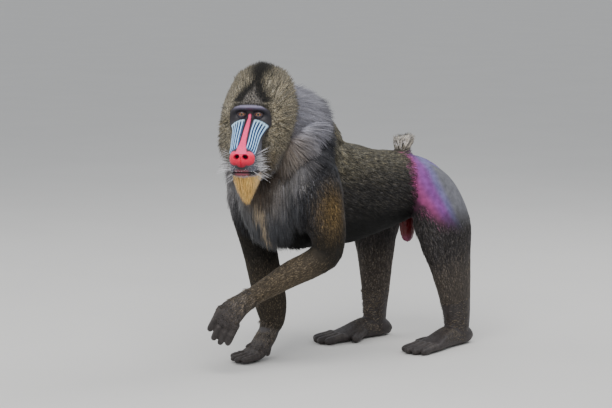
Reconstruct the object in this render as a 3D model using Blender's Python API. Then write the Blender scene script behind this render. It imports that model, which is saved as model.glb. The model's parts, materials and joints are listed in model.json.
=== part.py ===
"""Adult male mandrill at life size, walking, with its head turned to its left.

Metres, +Z up, floor at Z = 0. The animal faces -Y and its own left side is +X.
Each named part of the body is one closed solid; the coat's long hair is built as flat,
tapered locks that are fused to the part that they grow from.
"""

import math
import random

import bmesh
import bpy
import numpy as np

CM = 0.01
GAP = 0.00035           # clearance between two parts that touch
CENTRE = (-0.005, -0.061) # moves the body so that the middle of its box is over the zero point

# Trunk: distance back, top, bottom and half width of the coat's core, from chest to rump.
TRUNK_FRONT = (-0.158, 0.415)
TRUNK_ROWS = [
    (-0.145, 0.480, 0.352, 0.060),
    (-0.115, 0.528, 0.302, 0.092),
    (-0.060, 0.568, 0.270, 0.118),
    (0.000, 0.566, 0.260, 0.124),
    (0.070, 0.532, 0.258, 0.121),
    (0.140, 0.512, 0.266, 0.117),
    (0.210, 0.494, 0.282, 0.108),
    (0.280, 0.484, 0.300, 0.104),
    (0.340, 0.470, 0.312, 0.100),
    (0.385, 0.441, 0.320, 0.088),
    (0.415, 0.412, 0.332, 0.062),
]
TRUNK_BACK = (0.428, 0.370)
CHEST_END = 9           # the trunk's ring where the chest ends and the belly starts
BELLY_END = 13          # the ring where the belly ends and the rump starts
TRUNK_SQUARENESS = 2.15

# Limb rows: x, y, z of the centre, then half width and half depth of the coat's core.
NECK_ROWS = [
    (0.000, 0.030, 0.474, 0.082, 0.082),
    (0.001, 0.002, 0.506, 0.092, 0.092),
    (0.004, -0.040, 0.532, 0.093, 0.098),
    (0.012, -0.090, 0.560, 0.086, 0.090),
    (0.024, -0.134, 0.584, 0.066, 0.070),
    (0.032, -0.158, 0.598, 0.047, 0.049),
]
NECK_START = 7          # the ring where the neck leaves the chest
ARM_LEFT = [
    (0.058, -0.056, 0.516, 0.030, 0.040),
    (0.086, -0.060, 0.482, 0.056, 0.068),
    (0.105, -0.058, 0.430, 0.063, 0.073),
    (0.117, -0.050, 0.370, 0.058, 0.066),
    (0.124, -0.038, 0.318, 0.047, 0.055),
    (0.121, -0.040, 0.276, 0.041, 0.047),
    (0.110, -0.072, 0.252, 0.038, 0.041),
    (0.092, -0.120, 0.231, 0.035, 0.037),
    (0.072, -0.166, 0.205, 0.030, 0.030),
    (0.054, -0.205, 0.182, 0.026, 0.024),
    (0.046, -0.222, 0.170, 0.025, 0.021),
]
ARM_RIGHT = [
    (-0.058, -0.074, 0.511, 0.030, 0.040),
    (-0.086, -0.080, 0.478, 0.055, 0.064),
    (-0.103, -0.082, 0.430, 0.062, 0.068),
    (-0.109, -0.077, 0.370, 0.057, 0.062),
    (-0.107, -0.068, 0.310, 0.050, 0.054),
    (-0.100, -0.062, 0.262, 0.045, 0.048),
    (-0.092, -0.057, 0.220, 0.043, 0.046),
    (-0.082, -0.051, 0.170, 0.042, 0.045),
    (-0.074, -0.047, 0.124, 0.040, 0.041),
    (-0.069, -0.048, 0.090, 0.034, 0.031),
    (-0.069, -0.056, 0.068, 0.028, 0.021),
]
ELBOW, WRIST = 10, 20
LEG_LEFT = [
    (0.040, 0.314, 0.440, 0.028, 0.040),
    (0.068, 0.318, 0.408, 0.050, 0.060),
    (0.090, 0.334, 0.362, 0.057, 0.074),
    (0.107, 0.344, 0.308, 0.054, 0.083),
    (0.115, 0.350, 0.262, 0.047, 0.078),
    (0.117, 0.360, 0.216, 0.042, 0.066),
    (0.117, 0.371, 0.166, 0.039, 0.055),
    (0.116, 0.381, 0.116, 0.035, 0.046),
    (0.115, 0.388, 0.076, 0.031, 0.040),
    (0.115, 0.389, 0.040, 0.028, 0.035),
    (0.115, 0.384, 0.018, 0.022, 0.030),
]
LEG_RIGHT = [
    (-0.040, 0.310, 0.440, 0.028, 0.040),
    (-0.068, 0.314, 0.408, 0.050, 0.060),
    (-0.090, 0.326, 0.362, 0.056, 0.075),
    (-0.108, 0.326, 0.312, 0.051, 0.080),
    (-0.110, 0.320, 0.262, 0.044, 0.070),
    (-0.106, 0.317, 0.216, 0.039, 0.059),
    (-0.100, 0.312, 0.166, 0.036, 0.050),
    (-0.094, 0.307, 0.116, 0.033, 0.042),
    (-0.091, 0.303, 0.076, 0.030, 0.036),
    (-0.090, 0.301, 0.040, 0.027, 0.032),
    (-0.090, 0.294, 0.018, 0.021, 0.027),
]
KNEE, ANKLE = 9, 17
TAIL_ROWS = [
    (0.000, 0.300, 0.440, 0.021, 0.021),
    (0.000, 0.303, 0.470, 0.021, 0.021),
    (0.000, 0.308, 0.489, 0.017, 0.017),
    (0.000, 0.314, 0.502, 0.011, 0.011),
]

# Hands: x, y, z of the palm's middle line from the wrist, half width, half thickness.
PALM_LEFT = [
    (0.0460, -0.222, 0.170, 0.025, 0.021),
    (0.0415, -0.236, 0.161, 0.027, 0.018),
    (0.0380, -0.251, 0.150, 0.030, 0.016),
    (0.0350, -0.264, 0.138, 0.031, 0.014),
    (0.0330, -0.271, 0.130, 0.027, 0.011),
]
PALM_LEFT_WIDE = (0.56, 0.42, -0.71)    # from the thumb's side to the little finger's
PALM_RIGHT = [
    (-0.069, -0.056, 0.068, 0.028, 0.021),
    (-0.068, -0.068, 0.050, 0.031, 0.019),
    (-0.067, -0.084, 0.033, 0.034, 0.016),
    (-0.066, -0.102, 0.018, 0.036, 0.015),
    (-0.065, -0.116, 0.010, 0.032, 0.013),
]
PALM_RIGHT_WIDE = (-1.0, 0.05, 0.0)
FINGERS = ((-0.72, 0.054), (-0.25, 0.063), (0.24, 0.060), (0.70, 0.047))  # place, length
FINGER_RADIUS = 0.0098
THUMB_LENGTH = 0.030

# Feet: distance forward of the ankle, half width and height of the foot's top.
SOLE_ROWS = [
    (-0.046, 0.009, 0.016),
    (-0.038, 0.019, 0.032),
    (-0.018, 0.024, 0.048),
    (0.014, 0.024, 0.053),
    (0.046, 0.026, 0.046),
    (0.078, 0.031, 0.034),
    (0.104, 0.034, 0.025),
    (0.118, 0.029, 0.017),
]
FOOT_SQUARENESS = 2.6
TOES = ((-0.76, 0.060), (-0.26, 0.070), (0.25, 0.067), (0.74, 0.056))
TOE_RADIUS = 0.0105
BIG_TOE_LENGTH = 0.060
FOOT_LEFT = (0.115, 0.388, math.radians(6))     # ankle's x and y, turned out by
FOOT_RIGHT = (-0.090, 0.298, math.radians(-6))

# Head, in centimetres from the midpoint between the eyes: forward and up in its own plane.
EYES_AT = (0.074, -0.223, 0.604)
HEAD_TURN = math.radians(39.6)
NOSE_POLE = (10.9, -9.3)
# Each row: dorsal point (forward, up), ventral point (forward, up), half width,
# squareness, then the depth of the coat's dense core at the top, side and bottom.
HEAD_ROWS = [
    (10.7, -7.9, 10.4, -10.7, 1.9, 2.3, 0.0, 0.0, 0.0),
    (10.0, -6.8, 9.4, -12.9, 2.8, 2.5, 0.0, 0.0, 0.0),
    (8.8, -5.9, 7.8, -14.1, 3.2, 2.7, 0.0, 0.0, 0.0),
    (7.0, -4.6, 5.3, -14.4, 3.5, 2.8, 0.0, 0.0, 0.1),
    (5.0, -3.2, 2.8, -14.0, 3.8, 2.7, 0.0, 0.2, 0.3),
    (3.0, -1.9, 0.2, -13.3, 4.3, 2.5, 0.0, 0.6, 0.6),
    (1.5, -0.8, -2.2, -12.5, 5.2, 2.4, 0.0, 1.0, 0.8),
    (1.3, 0.5, -4.2, -11.3, 5.8, 2.3, 0.0, 1.2, 0.9),
    (1.8, 1.7, -6.0, -9.9, 6.1, 2.3, 0.0, 1.3, 0.9),
    (1.0, 3.2, -7.8, -8.2, 6.3, 2.2, 0.4, 1.4, 0.9),
    (-0.8, 4.6, -9.6, -6.0, 6.4, 2.1, 1.0, 1.5, 0.9),
    (-3.2, 5.9, -11.2, -3.4, 6.2, 2.0, 1.5, 1.6, 1.0),
    (-6.0, 6.4, -12.3, -0.8, 5.4, 2.0, 1.8, 1.6, 1.2),
    (-8.8, 5.6, -12.8, 1.6, 3.8, 2.0, 1.7, 1.4, 1.4),
]
CROWN_POLE = (-12.2, 4.9)

EYE_CENTRE = (1.9, 0.12, -0.05)
EYE_RADIUS = 1.15
EYE_OPEN = (1.02, 0.46)             # half width and half height between the lids
LID_SIZE = (0.24, 0.34)             # half thickness and half height of a lid
RIDGE_TURNS = (18, 28, 38, 48, 57)  # each cheek ridge's place round the muzzle, in degrees
RIDGE_RADIUS = 0.34
RIDGE_SPAN = (5.55, 1.9)            # head rows between which the ridges run
NOSE_WING = (1.30, 9.75, -8.35)
NOSE_WING_RADII = (1.35, 1.25, 1.50)
NOSE_TIP = (0.0, 10.05, -8.1)
NOSE_TIP_RADII = (1.55, 1.15, 1.65)
NOSTRIL = (1.02, 10.95, -8.75)
NOSTRIL_RADII = (0.42, 0.75, 0.30)
MOUTH_UP = -12.15
MOUTH_RISE = 0.7                    # how much higher the corners are than the middle
MOUTH_CORNER = 4.3                  # head row of the corner of the mouth
LIP_RADIUS = 0.42
EAR_CENTRE = (7.5, -6.6, 1.2)
EAR_RADII = (0.75, 1.55, 2.25)

# Locks: rows of (place along, first and last turn in degrees, how many, length).
CREST_ROWS = [
    (9.4, 0, 42, 3, 0.030),
    (10.5, 12, 54, 3, 0.043),
    (11.6, 0, 62, 4, 0.048),
    (12.8, 12, 68, 3, 0.042),
]
RUFF_ROWS = [
    (6.7, 92, 134, 3, 0.026),
    (8.0, 72, 140, 4, 0.032),
    (9.4, 58, 136, 4, 0.037),
    (11.0, 66, 122, 4, 0.040),
]
BEARD_ROWS = [
    (4.3, 148, 178, 2, 0.046),
    (3.4, 152, 180, 3, 0.052),
    (2.5, 160, 178, 2, 0.062),
]
WHISKER_ROWS = [
    (3.1, 98, 120, 2, 0.026),
    (4.2, 94, 124, 2, 0.030),
]
MANTLE_ROWS = [
    (0.15, 46, 104, 4, 0.058),
    (0.20, 24, 104, 4, 0.062),
    (0.25, 10, 98, 5, 0.058),
    (0.30, 0, 84, 4, 0.044),
]
NAPE_ROWS = [
    (0.57, 0, 80, 4, 0.045),
    (0.45, 12, 94, 4, 0.052),
    (0.32, 0, 84, 4, 0.050),
]
BIB_ROWS = [
    (0.02, 44, 164, 3, 0.052),
    (0.09, 88, 170, 3, 0.058),
]
TAIL_LOCKS = 5
TAIL_LOCK_LENGTH = 0.030
LOCK_STEPS = (0.0, 0.52)
LOCK_SUNK = 0.006

COLOURS = {
    "coat": ((0.17, 0.14, 0.10), 0.85),
    "mantle": ((0.25, 0.25, 0.27), 0.85),
    "face": ((0.30, 0.20, 0.20), 0.6),
    "rump": ((0.42, 0.26, 0.42), 0.6),
    "dark_skin": ((0.05, 0.045, 0.045), 0.55),
    "eye": ((0.30, 0.14, 0.04), 0.1),
    "ear": ((0.35, 0.22, 0.20), 0.6),
    "tail": ((0.45, 0.42, 0.38), 0.85),
    "groin": ((0.50, 0.04, 0.05), 0.5),
}

AROUND = 12             # points round a limb
AROUND_TRUNK = 22
AROUND_NECK = 14
AROUND_HEAD = 28
AROUND_DIGIT = 6
AROUND_TAIL = 10
PER_ROW = 2             # rings for each row of a limb or of the trunk
HEAD_PER_ROW = 3        # on the face; the skull under the hair has one ring a row
FACE_ROWS = 8
RIGHT = (1.0, 0.0, 0.0)


def clear_scene():
    for old in list(bpy.data.objects):
        bpy.data.objects.remove(old)


def unit(v):
    """The rows of v, each made one long."""
    v = np.asarray(v, float)
    return v / np.maximum(np.linalg.norm(v, axis=-1, keepdims=True), 1e-12)


def row_at(rows, at):
    """Values of a table of rows at fractional places, on a Catmull-Rom curve."""
    rows = np.asarray(rows, float)
    padded = np.vstack([2 * rows[0] - rows[1], rows, 2 * rows[-1] - rows[-2]])
    at = np.asarray(at, float)
    i = np.clip(np.floor(at).astype(int), 0, len(rows) - 2)
    t = (at - i)[..., None]
    a, b, c, d = padded[i], padded[i + 1], padded[i + 2], padded[i + 3]
    return 0.5 * (2 * b + (c - a) * t + (2 * a - 5 * b + 4 * c - d) * t**2
                  + (3 * b - a - 3 * c + d) * t**3)


def resample(rows, per_row):
    return row_at(rows, np.arange((len(rows) - 1) * per_row + 1) / per_row)


def power_wave(wave, power):
    """A sine or cosine made squarer, as in a superellipse."""
    return np.sign(wave) * np.abs(wave) ** (2.0 / power)


def tube_rings(rows, around=AROUND, per_row=PER_ROW, grow=0.0, power=2.0, wide=RIGHT):
    """Rings along rows of x, y, z, half width and half depth; wide is the width's direction."""
    fine = resample(rows, per_row)
    centre = fine[:, :3]
    along = unit(np.gradient(centre, axis=0))
    centre[0] -= along[0] * grow
    centre[-1] += along[-1] * grow
    wide = unit(wide)
    side = unit(wide - along * (along @ wide)[:, None])
    depth = np.cross(side, along)
    turn = np.arange(around) * 2 * math.pi / around
    s, d = power_wave(np.cos(turn), power), power_wave(np.sin(turn), power)
    return (centre[:, None] + side[:, None] * ((fine[:, 3:4] + grow) * s)[..., None]
            + depth[:, None] * ((fine[:, 4:5] + grow) * d)[..., None])


def trunk_rings():
    """Rings of the whole trunk, upright and square to its length."""
    table = [(y, (top + low) / 2, half, (top - low) / 2) for y, top, low, half in TRUNK_ROWS]
    fine = resample(table, PER_ROW)
    turn = np.arange(AROUND_TRUNK) * 2 * math.pi / AROUND_TRUNK
    side = power_wave(np.sin(turn), TRUNK_SQUARENESS)
    rise = power_wave(np.cos(turn), TRUNK_SQUARENESS)
    rings = np.zeros((len(fine), AROUND_TRUNK, 3))
    rings[..., 0] = fine[:, 2:3] * side
    rings[..., 1] = fine[:, 0:1]
    rings[..., 2] = fine[:, 1:2] + fine[:, 3:4] * rise
    return rings


def piece_of(rings, first, last):
    """A stretch of a stack of rings, its cut ends drawn back by half of the clearance."""
    part = rings[first:last + 1].copy()
    if first > 0:
        part[0] += unit(part[1].mean(axis=0) - part[0].mean(axis=0)) * GAP / 2
    if last < len(rings) - 1:
        part[-1] -= unit(part[-1].mean(axis=0) - part[-2].mean(axis=0)) * GAP / 2
    return part


def object_of(bm, name):
    mesh = bpy.data.meshes.new(name)
    bmesh.ops.triangulate(bm, faces=bm.faces, quad_method="FIXED")
    bmesh.ops.recalc_face_normals(bm, faces=bm.faces)
    bm.to_mesh(mesh)
    bm.free()
    obj = bpy.data.objects.new(name, mesh)
    bpy.context.scene.collection.objects.link(obj)
    return obj


def solid(name, rings, start=None, end=None):
    """A closed object from rings; each end is a flat cap, or a cone to a pole point."""
    bm = bmesh.new()
    loops = [[bm.verts.new(p) for p in ring] for ring in rings]
    count = len(loops[0])
    for a, b in zip(loops, loops[1:]):
        for i in range(count):
            j = (i + 1) % count
            bm.faces.new((a[i], a[j], b[j], b[i]))
    for ring, pole in ((loops[0][::-1], start), (loops[-1], end)):
        if pole is None:
            bm.faces.new(ring)
            continue
        tip = bm.verts.new(pole)
        for i in range(count):
            bm.faces.new((ring[i], ring[(i + 1) % count], tip))
    return object_of(bm, name)


def rounded(name, rings, start_bulge=0.5, end_bulge=0.5):
    """A closed object whose ends are low cones; each bulge is a share of the end's radius."""
    tips = []
    for ring, inner, bulge in ((rings[0], rings[1], start_bulge),
                               (rings[-1], rings[-2], end_bulge)):
        middle = ring.mean(axis=0)
        radius = np.linalg.norm(ring - middle, axis=1).mean()
        tips.append(middle + unit(middle - inner.mean(axis=0)) * radius * bulge)
    return solid(name, rings, *tips)


def ball(centre, radii, around=14, rows=8, name="ball", place=None):
    """A closed ellipsoid of rings stacked on its third axis."""
    c, r = np.asarray(centre, float), np.asarray(radii, float)
    rings = []
    for i in range(1, rows):
        tilt = math.pi * i / rows
        turn = np.arange(around) * 2 * math.pi / around
        rings.append(c + r * np.stack([math.sin(tilt) * np.cos(turn),
                                       math.sin(tilt) * np.sin(turn),
                                       0 * turn - math.cos(tilt)], axis=1))
    rings, low, high = np.array(rings), c - (0, 0, r[2]), c + (0, 0, r[2])
    if place:
        rings, low, high = place(rings), place(low), place(high)
    return solid(name, rings, low, high)


def combine(target, helpers, operation):
    """Joins or cuts the target with all the helpers at once, and removes the helpers."""
    if not helpers:
        return target
    group = bpy.data.collections.new(target.name + "_helpers")
    bpy.context.scene.collection.children.link(group)
    for helper in helpers:
        bpy.context.scene.collection.objects.unlink(helper)
        group.objects.link(helper)
    step = target.modifiers.new("combine", "BOOLEAN")
    step.operation = operation
    step.operand_type = "COLLECTION"
    step.collection = group
    step.solver = "MANIFOLD"
    bpy.context.view_layer.update()
    graph = bpy.context.evaluated_depsgraph_get()
    target.data = bpy.data.meshes.new_from_object(target.evaluated_get(graph))
    target.modifiers.clear()
    for helper in list(group.objects):
        bpy.data.objects.remove(helper)
    bpy.data.collections.remove(group)
    return target


def fuse(target, helpers):
    return combine(target, helpers, "UNION")


def cut(target, helpers):
    return combine(target, helpers, "DIFFERENCE")


def widest(verts):
    """The length of the diagonal of the box round some vertices."""
    points = np.array([v.co[:] for v in verts])
    return float(np.linalg.norm(points.max(axis=0) - points.min(axis=0)))


def keep_largest(obj):
    """Drops loose scraps and sealed hollows, so that one closed surface is left."""
    bm = bmesh.new()
    bm.from_mesh(obj.data)
    left, pieces = set(bm.verts), []
    while left:
        piece, front = set(), [left.pop()]
        while front:
            vert = front.pop()
            piece.add(vert)
            for edge in vert.link_edges:
                other = edge.other_vert(vert)
                if other in left:
                    left.discard(other)
                    front.append(other)
        pieces.append(piece)
    best = max(pieces, key=widest)
    bmesh.ops.delete(bm, geom=[v for v in bm.verts if v not in best], context="VERTS")
    bm.to_mesh(obj.data)
    bm.free()
    return obj


def finish(obj, name, colour):
    """Names, places, colours and smooths a finished part."""
    keep_largest(obj)
    obj.name = name
    obj.data.name = name
    points = np.empty(len(obj.data.vertices) * 3)
    obj.data.vertices.foreach_get("co", points)
    points = points.reshape(-1, 3) + (CENTRE[0], CENTRE[1], 0.0)
    obj.data.vertices.foreach_set("co", points.ravel())
    base, roughness = COLOURS[colour]
    material = bpy.data.materials.new(name + "_finish")
    material.use_nodes = True
    shader = material.node_tree.nodes["Principled BSDF"]
    shader.inputs["Base Color"].default_value = (*base, 1.0)
    shader.inputs["Roughness"].default_value = roughness
    material.diffuse_color = (*base, 1.0)
    obj.data.materials.clear()
    obj.data.materials.append(material)
    obj.data.shade_smooth()
    obj.data.set_sharp_from_angle(angle=math.radians(45))
    return obj


def lock(root, normal, start, lie, length, width, thickness):
    """A flat, tapered lock: it leaves its root along start, bends to lie, and ends in a tip.

    Its under side is flat and its upper side has a low ridge.
    Its centre line is root + length * (start (t - t2 / 2) + lie t2 / 2) with t2 = t squared."""
    normal, start, lie = unit(normal), unit(start), unit(lie)
    root = np.asarray(root, float) - normal * LOCK_SUNK
    rings = []
    for t in LOCK_STEPS:
        centre = root + length * (start * (t - t * t / 2) + lie * t * t / 2)
        along = unit(start * (1 - t) + lie * t)
        side = unit(np.cross(along, normal))
        flat = np.cross(side, along)
        half = width / 2 * (0.80 + 0.35 * t)
        thick = thickness / 2 * (1 - 0.7 * t)
        rings.append([centre + side * half, centre + flat * thick, centre - side * half])
    return solid("lock", rings, None, root + length * (start + lie) / 2)


def spread_turns(first, last, count, shift):
    """Turns from first to last on both sides of the middle line, without a double at 0 or 180."""
    step = (last - first) / max(count - 1, 1)
    turns = []
    for k in range(count):
        turn = first + step * (k + shift)
        turns.append(turn)
        if 1.0 < turn < 179.0:
            turns.append(-turn)
    return turns


# Head.

TURN_SIN, TURN_COS = math.sin(HEAD_TURN), math.cos(HEAD_TURN)


def head_turned(v):
    """Vectors (left, forward, up) of the head as vectors of the body."""
    v = np.asarray(v, float)
    left, forward, up = v[..., 0], v[..., 1], v[..., 2]
    return np.stack([left * TURN_COS + forward * TURN_SIN,
                     left * TURN_SIN - forward * TURN_COS, up], axis=-1)


def head_place(points):
    """Head centimetres (left, forward, up) as metres in the body's frame."""
    return head_turned(np.asarray(points, float) * CM) + EYES_AT


def head_surface(row, turn, coat=1.0):
    """The head's surface at a fractional row and a turn round it, 0 on top."""
    fine = row_at(HEAD_ROWS, row)
    dorsal, ventral = fine[..., 0:2], fine[..., 2:4]
    across = unit(dorsal - ventral)
    dorsal = dorsal + across * fine[..., 6:7] * coat
    ventral = ventral - across * fine[..., 8:9] * coat
    half, power = fine[..., 4] + fine[..., 7] * coat, fine[..., 5]
    middle, reach = (dorsal + ventral) / 2, (dorsal - ventral) / 2
    c, s = power_wave(np.cos(turn), power), power_wave(np.sin(turn), power)
    return np.stack([half * s, middle[..., 0] + reach[..., 0] * c,
                     middle[..., 1] + reach[..., 1] * c], axis=-1)


def head_spot(row, turn_degrees):
    """A point of the head's surface and its outward normal, in head centimetres."""
    turn, step = math.radians(turn_degrees), 0.04
    point = head_surface(row, turn)
    by_row = head_surface(row + step, turn) - head_surface(row - step, turn)
    by_turn = head_surface(row, turn + step) - head_surface(row, turn - step)
    normal = unit(np.cross(by_row, by_turn))
    middle = (head_surface(row, 0.0) + head_surface(row, math.pi)) / 2
    return point, normal if normal @ (point - middle) > 0 else -normal


def relief(points):
    """Eye sockets, brow and the swellings beside the nose, pushed into the head's surface."""
    left, forward, up = points[..., 0], points[..., 1], points[..., 2]
    front = 1 / (1 + np.exp(-(forward + 1.0) / 0.3))
    socket = np.exp(-((np.abs(left) - EYE_CENTRE[0]) / 1.2) ** 2 - ((up + 0.1) / 0.85) ** 2)
    brow = np.exp(-((up - 1.7) / 0.6) ** 2) / (1 + np.exp((np.abs(left) - 4.0) / 0.35))
    swell = np.exp(-((forward - 5.2) / 2.6) ** 2 - ((np.abs(left) - 2.5) / 1.1) ** 2)
    swell = swell * (up > -8.5)
    pushed = points.copy()
    pushed[..., 1] += front * (0.30 * brow - 0.75 * socket) + 0.22 * swell
    pushed[..., 2] += 0.40 * swell
    return pushed


def head_core():
    face = np.arange(FACE_ROWS * HEAD_PER_ROW) / HEAD_PER_ROW
    rows = np.concatenate([face, np.arange(FACE_ROWS, len(HEAD_ROWS))])
    turns = np.arange(AROUND_HEAD) * 2 * math.pi / AROUND_HEAD
    rings = relief(head_surface(rows[:, None], turns[None, :]))
    return solid("head", head_place(rings), head_place((0, *NOSE_POLE)),
                 head_place((0, *CROWN_POLE)))


def head_tube(points, widths, depths, around=5, wide=(1.0, 0.0, 0.0)):
    """A tube through points of the head, in centimetres, with blunt ends."""
    rows = np.column_stack([head_place(points), np.asarray(widths) * CM,
                            np.asarray(depths) * CM])
    return rounded("tube", tube_rings(rows, around, 1, wide=head_turned(wide)), 0.6, 0.6)


def face_ridges():
    """Long ridges along each side of the nose, which draw together towards its tip."""
    made = []
    for side in (1, -1):
        for number, turn in enumerate(RIDGE_TURNS):
            rows = np.linspace(RIDGE_SPAN[0] - 0.12 * number, RIDGE_SPAN[1], 5)
            share = np.linspace(0, 1, 5)
            points = []
            for row, t in zip(rows, share):
                spot, normal = head_spot(row, side * turn * (0.80 + 0.32 * t))
                points.append(relief(spot) + normal * (0.10 - 0.05 * t))
            size = RIDGE_RADIUS * (0.70 + 1.1 * share - 1.2 * share**2)
            made.append(head_tube(points, size, size))
    strip = [relief(head_spot(row, 0.5)[0]) for row in np.linspace(6.6, 1.4, 5)]
    made.append(head_tube(strip, [0.45, 0.52, 0.60, 0.75, 0.95],
                          [0.2, 0.25, 0.25, 0.25, 0.3]))
    return made


def nose_forms():
    made = [ball(NOSE_TIP, NOSE_TIP_RADII, 10, 6, place=head_place)]
    for side in (1, -1):
        centre = (side * NOSE_WING[0], NOSE_WING[1], NOSE_WING[2])
        made.append(ball(centre, NOSE_WING_RADII, 10, 6, place=head_place))
    return made


def nostril_cutters():
    return [ball((side * NOSTRIL[0], NOSTRIL[1], NOSTRIL[2]), NOSTRIL_RADII, 8, 5,
                 place=head_place) for side in (1, -1)]


def mouth_line():
    """Points of the closed mouth's line on the surface, from its right corner to its left."""
    rows = np.linspace(0.0, MOUTH_CORNER, 120)
    fine = row_at(HEAD_ROWS, rows)
    middle, reach = (fine[:, 0:2] + fine[:, 2:4]) / 2, (fine[:, 0:2] - fine[:, 2:4]) / 2
    height = MOUTH_UP + MOUTH_RISE * (rows / MOUTH_CORNER) ** 2
    c = (height - middle[:, 1]) / reach[:, 1]
    inside = np.abs(c) < 1.0
    c, middle, reach, fine = c[inside], middle[inside], reach[inside], fine[inside]
    left = fine[:, 4] * (1 - np.abs(c) ** fine[:, 5]) ** (1 / fine[:, 5])
    half = np.stack([left, middle[:, 0] + reach[:, 0] * c, height[inside]], axis=1)
    half = half[np.linspace(0, len(half) - 1, 7).astype(int)]
    mirrored = half[::-1] * (-1, 1, 1)
    return np.vstack([mirrored, half])


def lips_and_cut():
    """The lips' roll round the mouth, and the wedge that parts them."""
    line = mouth_line()
    count = len(line)
    share = 1 - np.abs(np.linspace(-1, 1, count)) ** 3
    outward = unit(line - (0, 3.0, MOUTH_UP)) * (1, 1, 0)
    size = LIP_RADIUS * (0.45 + 0.55 * share)
    lips = head_tube(line - outward * 0.12, size, size * 1.5, wide=(0, 1, 0.01))
    wedge = []
    for point, out in zip(line, outward):
        wedge.append([point + out * 0.9 + (0, 0, 0.10), point + out * 0.9 - (0, 0, 0.10),
                      point - out * 0.22])
    return lips, solid("mouth", head_place(wedge))


def eyelids():
    """An upper and a lower lid for each eye: two arcs that meet at the corners."""
    made = []
    wide, tall = EYE_OPEN
    for side in (1, -1):
        centre = np.array([side * EYE_CENTRE[0], EYE_CENTRE[1], EYE_CENTRE[2]])
        for lift in (1.0, -0.85):
            turns = np.linspace(-0.15, math.pi + 0.15, 6)
            x = (wide + LID_SIZE[1] * 0.6) * np.cos(turns)
            z = lift * (tall + LID_SIZE[1]) * np.sin(turns)
            y = np.sqrt(np.maximum((EYE_RADIUS + 0.04) ** 2 - x**2 - z**2, 0.25))
            points = centre + np.stack([x, y, z], axis=1)
            made.append(head_tube(points, [LID_SIZE[0]] * 6, [LID_SIZE[1]] * 6,
                                  wide=(0, 1, 0)))
    return made


def ear_at(side, grow=0.0):
    """One ear: a flat oval, hollowed on its outer face, that leans back."""
    lean = math.radians(20)
    def place(points):
        p = np.asarray(points, float)
        forward = p[..., 1] * math.cos(lean) + p[..., 0] * math.sin(lean)
        outward = p[..., 0] * math.cos(lean) - p[..., 1] * math.sin(lean)
        return head_place(np.stack([side * (outward + EAR_CENTRE[0]), forward + EAR_CENTRE[1],
                                    p[..., 2] + EAR_CENTRE[2]], axis=-1))
    radii = np.array(EAR_RADII) + grow / CM
    ear = ball((0, 0, 0), radii, 12, 7, place=place)
    if grow:
        return ear
    hollow = ball((0.62, 0.25, 0.15), (0.72, 1.12, 1.68), 10, 6, place=place)
    cut(ear, [hollow])
    return fuse(ear, [ball((0.15, 0.95, -0.45), (0.30, 0.35, 0.50), 8, 6, place=place)])


def eye_at(side, grow=0.0):
    centre = head_place((side * EYE_CENTRE[0], EYE_CENTRE[1], EYE_CENTRE[2]))
    radius = EYE_RADIUS * CM + grow
    return ball(centre, (radius, radius, radius), 12, 7)


def head_lock(dice, row, turn, length, start, lie, width=0.024):
    """One lock on the head; start and lie are (out, back, up) shares of its direction."""
    spot, normal = head_spot(row, turn)
    back, up = np.array([0.0, -1.0, 0.0]), np.array([0.0, 0.0, 1.0])
    ways = [normal * way[0] + back * way[1] + up * way[2] for way in (start, lie)]
    return lock(head_place(spot), head_turned(normal), head_turned(ways[0]),
                head_turned(ways[1]), length * dice.uniform(0.9, 1.08),
                width * dice.uniform(0.9, 1.15), 0.006)


def clear_of_ear(row, turn):
    spot, _ = head_spot(row, turn)
    away = math.hypot(spot[1] - EAR_CENTRE[1], spot[2] - EAR_CENTRE[2])
    return abs(spot[0]) < 4.5 or away > 2.6


def head_locks():
    dice = random.Random(41)
    made = []
    for number, (row, first, last, count, length) in enumerate(CREST_ROWS):
        for turn in spread_turns(first, last, count, 0.0 if number % 2 else 0.4):
            made.append(head_lock(dice, row + dice.uniform(-0.1, 0.1), turn, length,
                                  (0.75, 0.30, 0.35), (0.20, 0.75, 0.55)))
    for number, (row, first, last, count, length) in enumerate(RUFF_ROWS):
        for turn in spread_turns(first, last, count, 0.0 if number % 2 else 0.4):
            if clear_of_ear(row, turn):
                made.append(head_lock(dice, row + dice.uniform(-0.1, 0.1), turn, length,
                                      (0.55, 0.75, 0.0), (0.42, 0.70, -0.30)))
    for row, first, last, count, length in BEARD_ROWS:
        for turn in spread_turns(first, last, count, 0.0):
            made.append(head_lock(dice, row, turn, length, (0.55, 0.15, -0.6),
                                  (0.0, 0.35, -0.95), 0.014))
    for row, first, last, count, length in WHISKER_ROWS:
        for turn in spread_turns(first, last, count, 0.0):
            made.append(head_lock(dice, row, turn, length, (0.75, 0.6, -0.2),
                                  (0.45, 0.75, -0.5), 0.007))
    return made


def build_head():
    """Head, eyes and ears."""
    head = head_core()
    lips, wedge = lips_and_cut()
    fuse(head, face_ridges() + nose_forms() + eyelids() + [lips])
    cut(head, nostril_cutters() + [wedge])
    fuse(head, head_locks())
    holes = [neck_solid(GAP, 0)]
    for side in (1, -1):
        holes += [eye_at(side, GAP), ear_at(side, GAP)]
    cut(head, holes)
    finish(head, "head", "face")
    for side, name in ((1, "left"), (-1, "right")):
        finish(eye_at(side), "eye_" + name, "eye")
        finish(cut(ear_at(side), [head_core_grown()]), "ear_" + name, "ear")


def head_core_grown():
    """A ball inside the skull that keeps the ears' roots shallow."""
    return ball(head_place((0, -6.0, 0.0)), (0.0655, 0.0655, 0.066), 14, 8)


# Neck, trunk and tail.

def neck_solid(grow=0.0, first=NECK_START):
    rings = tube_rings(NECK_ROWS, AROUND_NECK, grow=grow)
    return solid("neck", rings[first:])


def build_neck():
    rings = piece_of(tube_rings(NECK_ROWS, AROUND_NECK), NECK_START, 2 * (len(NECK_ROWS) - 1))
    finish(solid("neck", rings), "neck", "coat")


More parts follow.
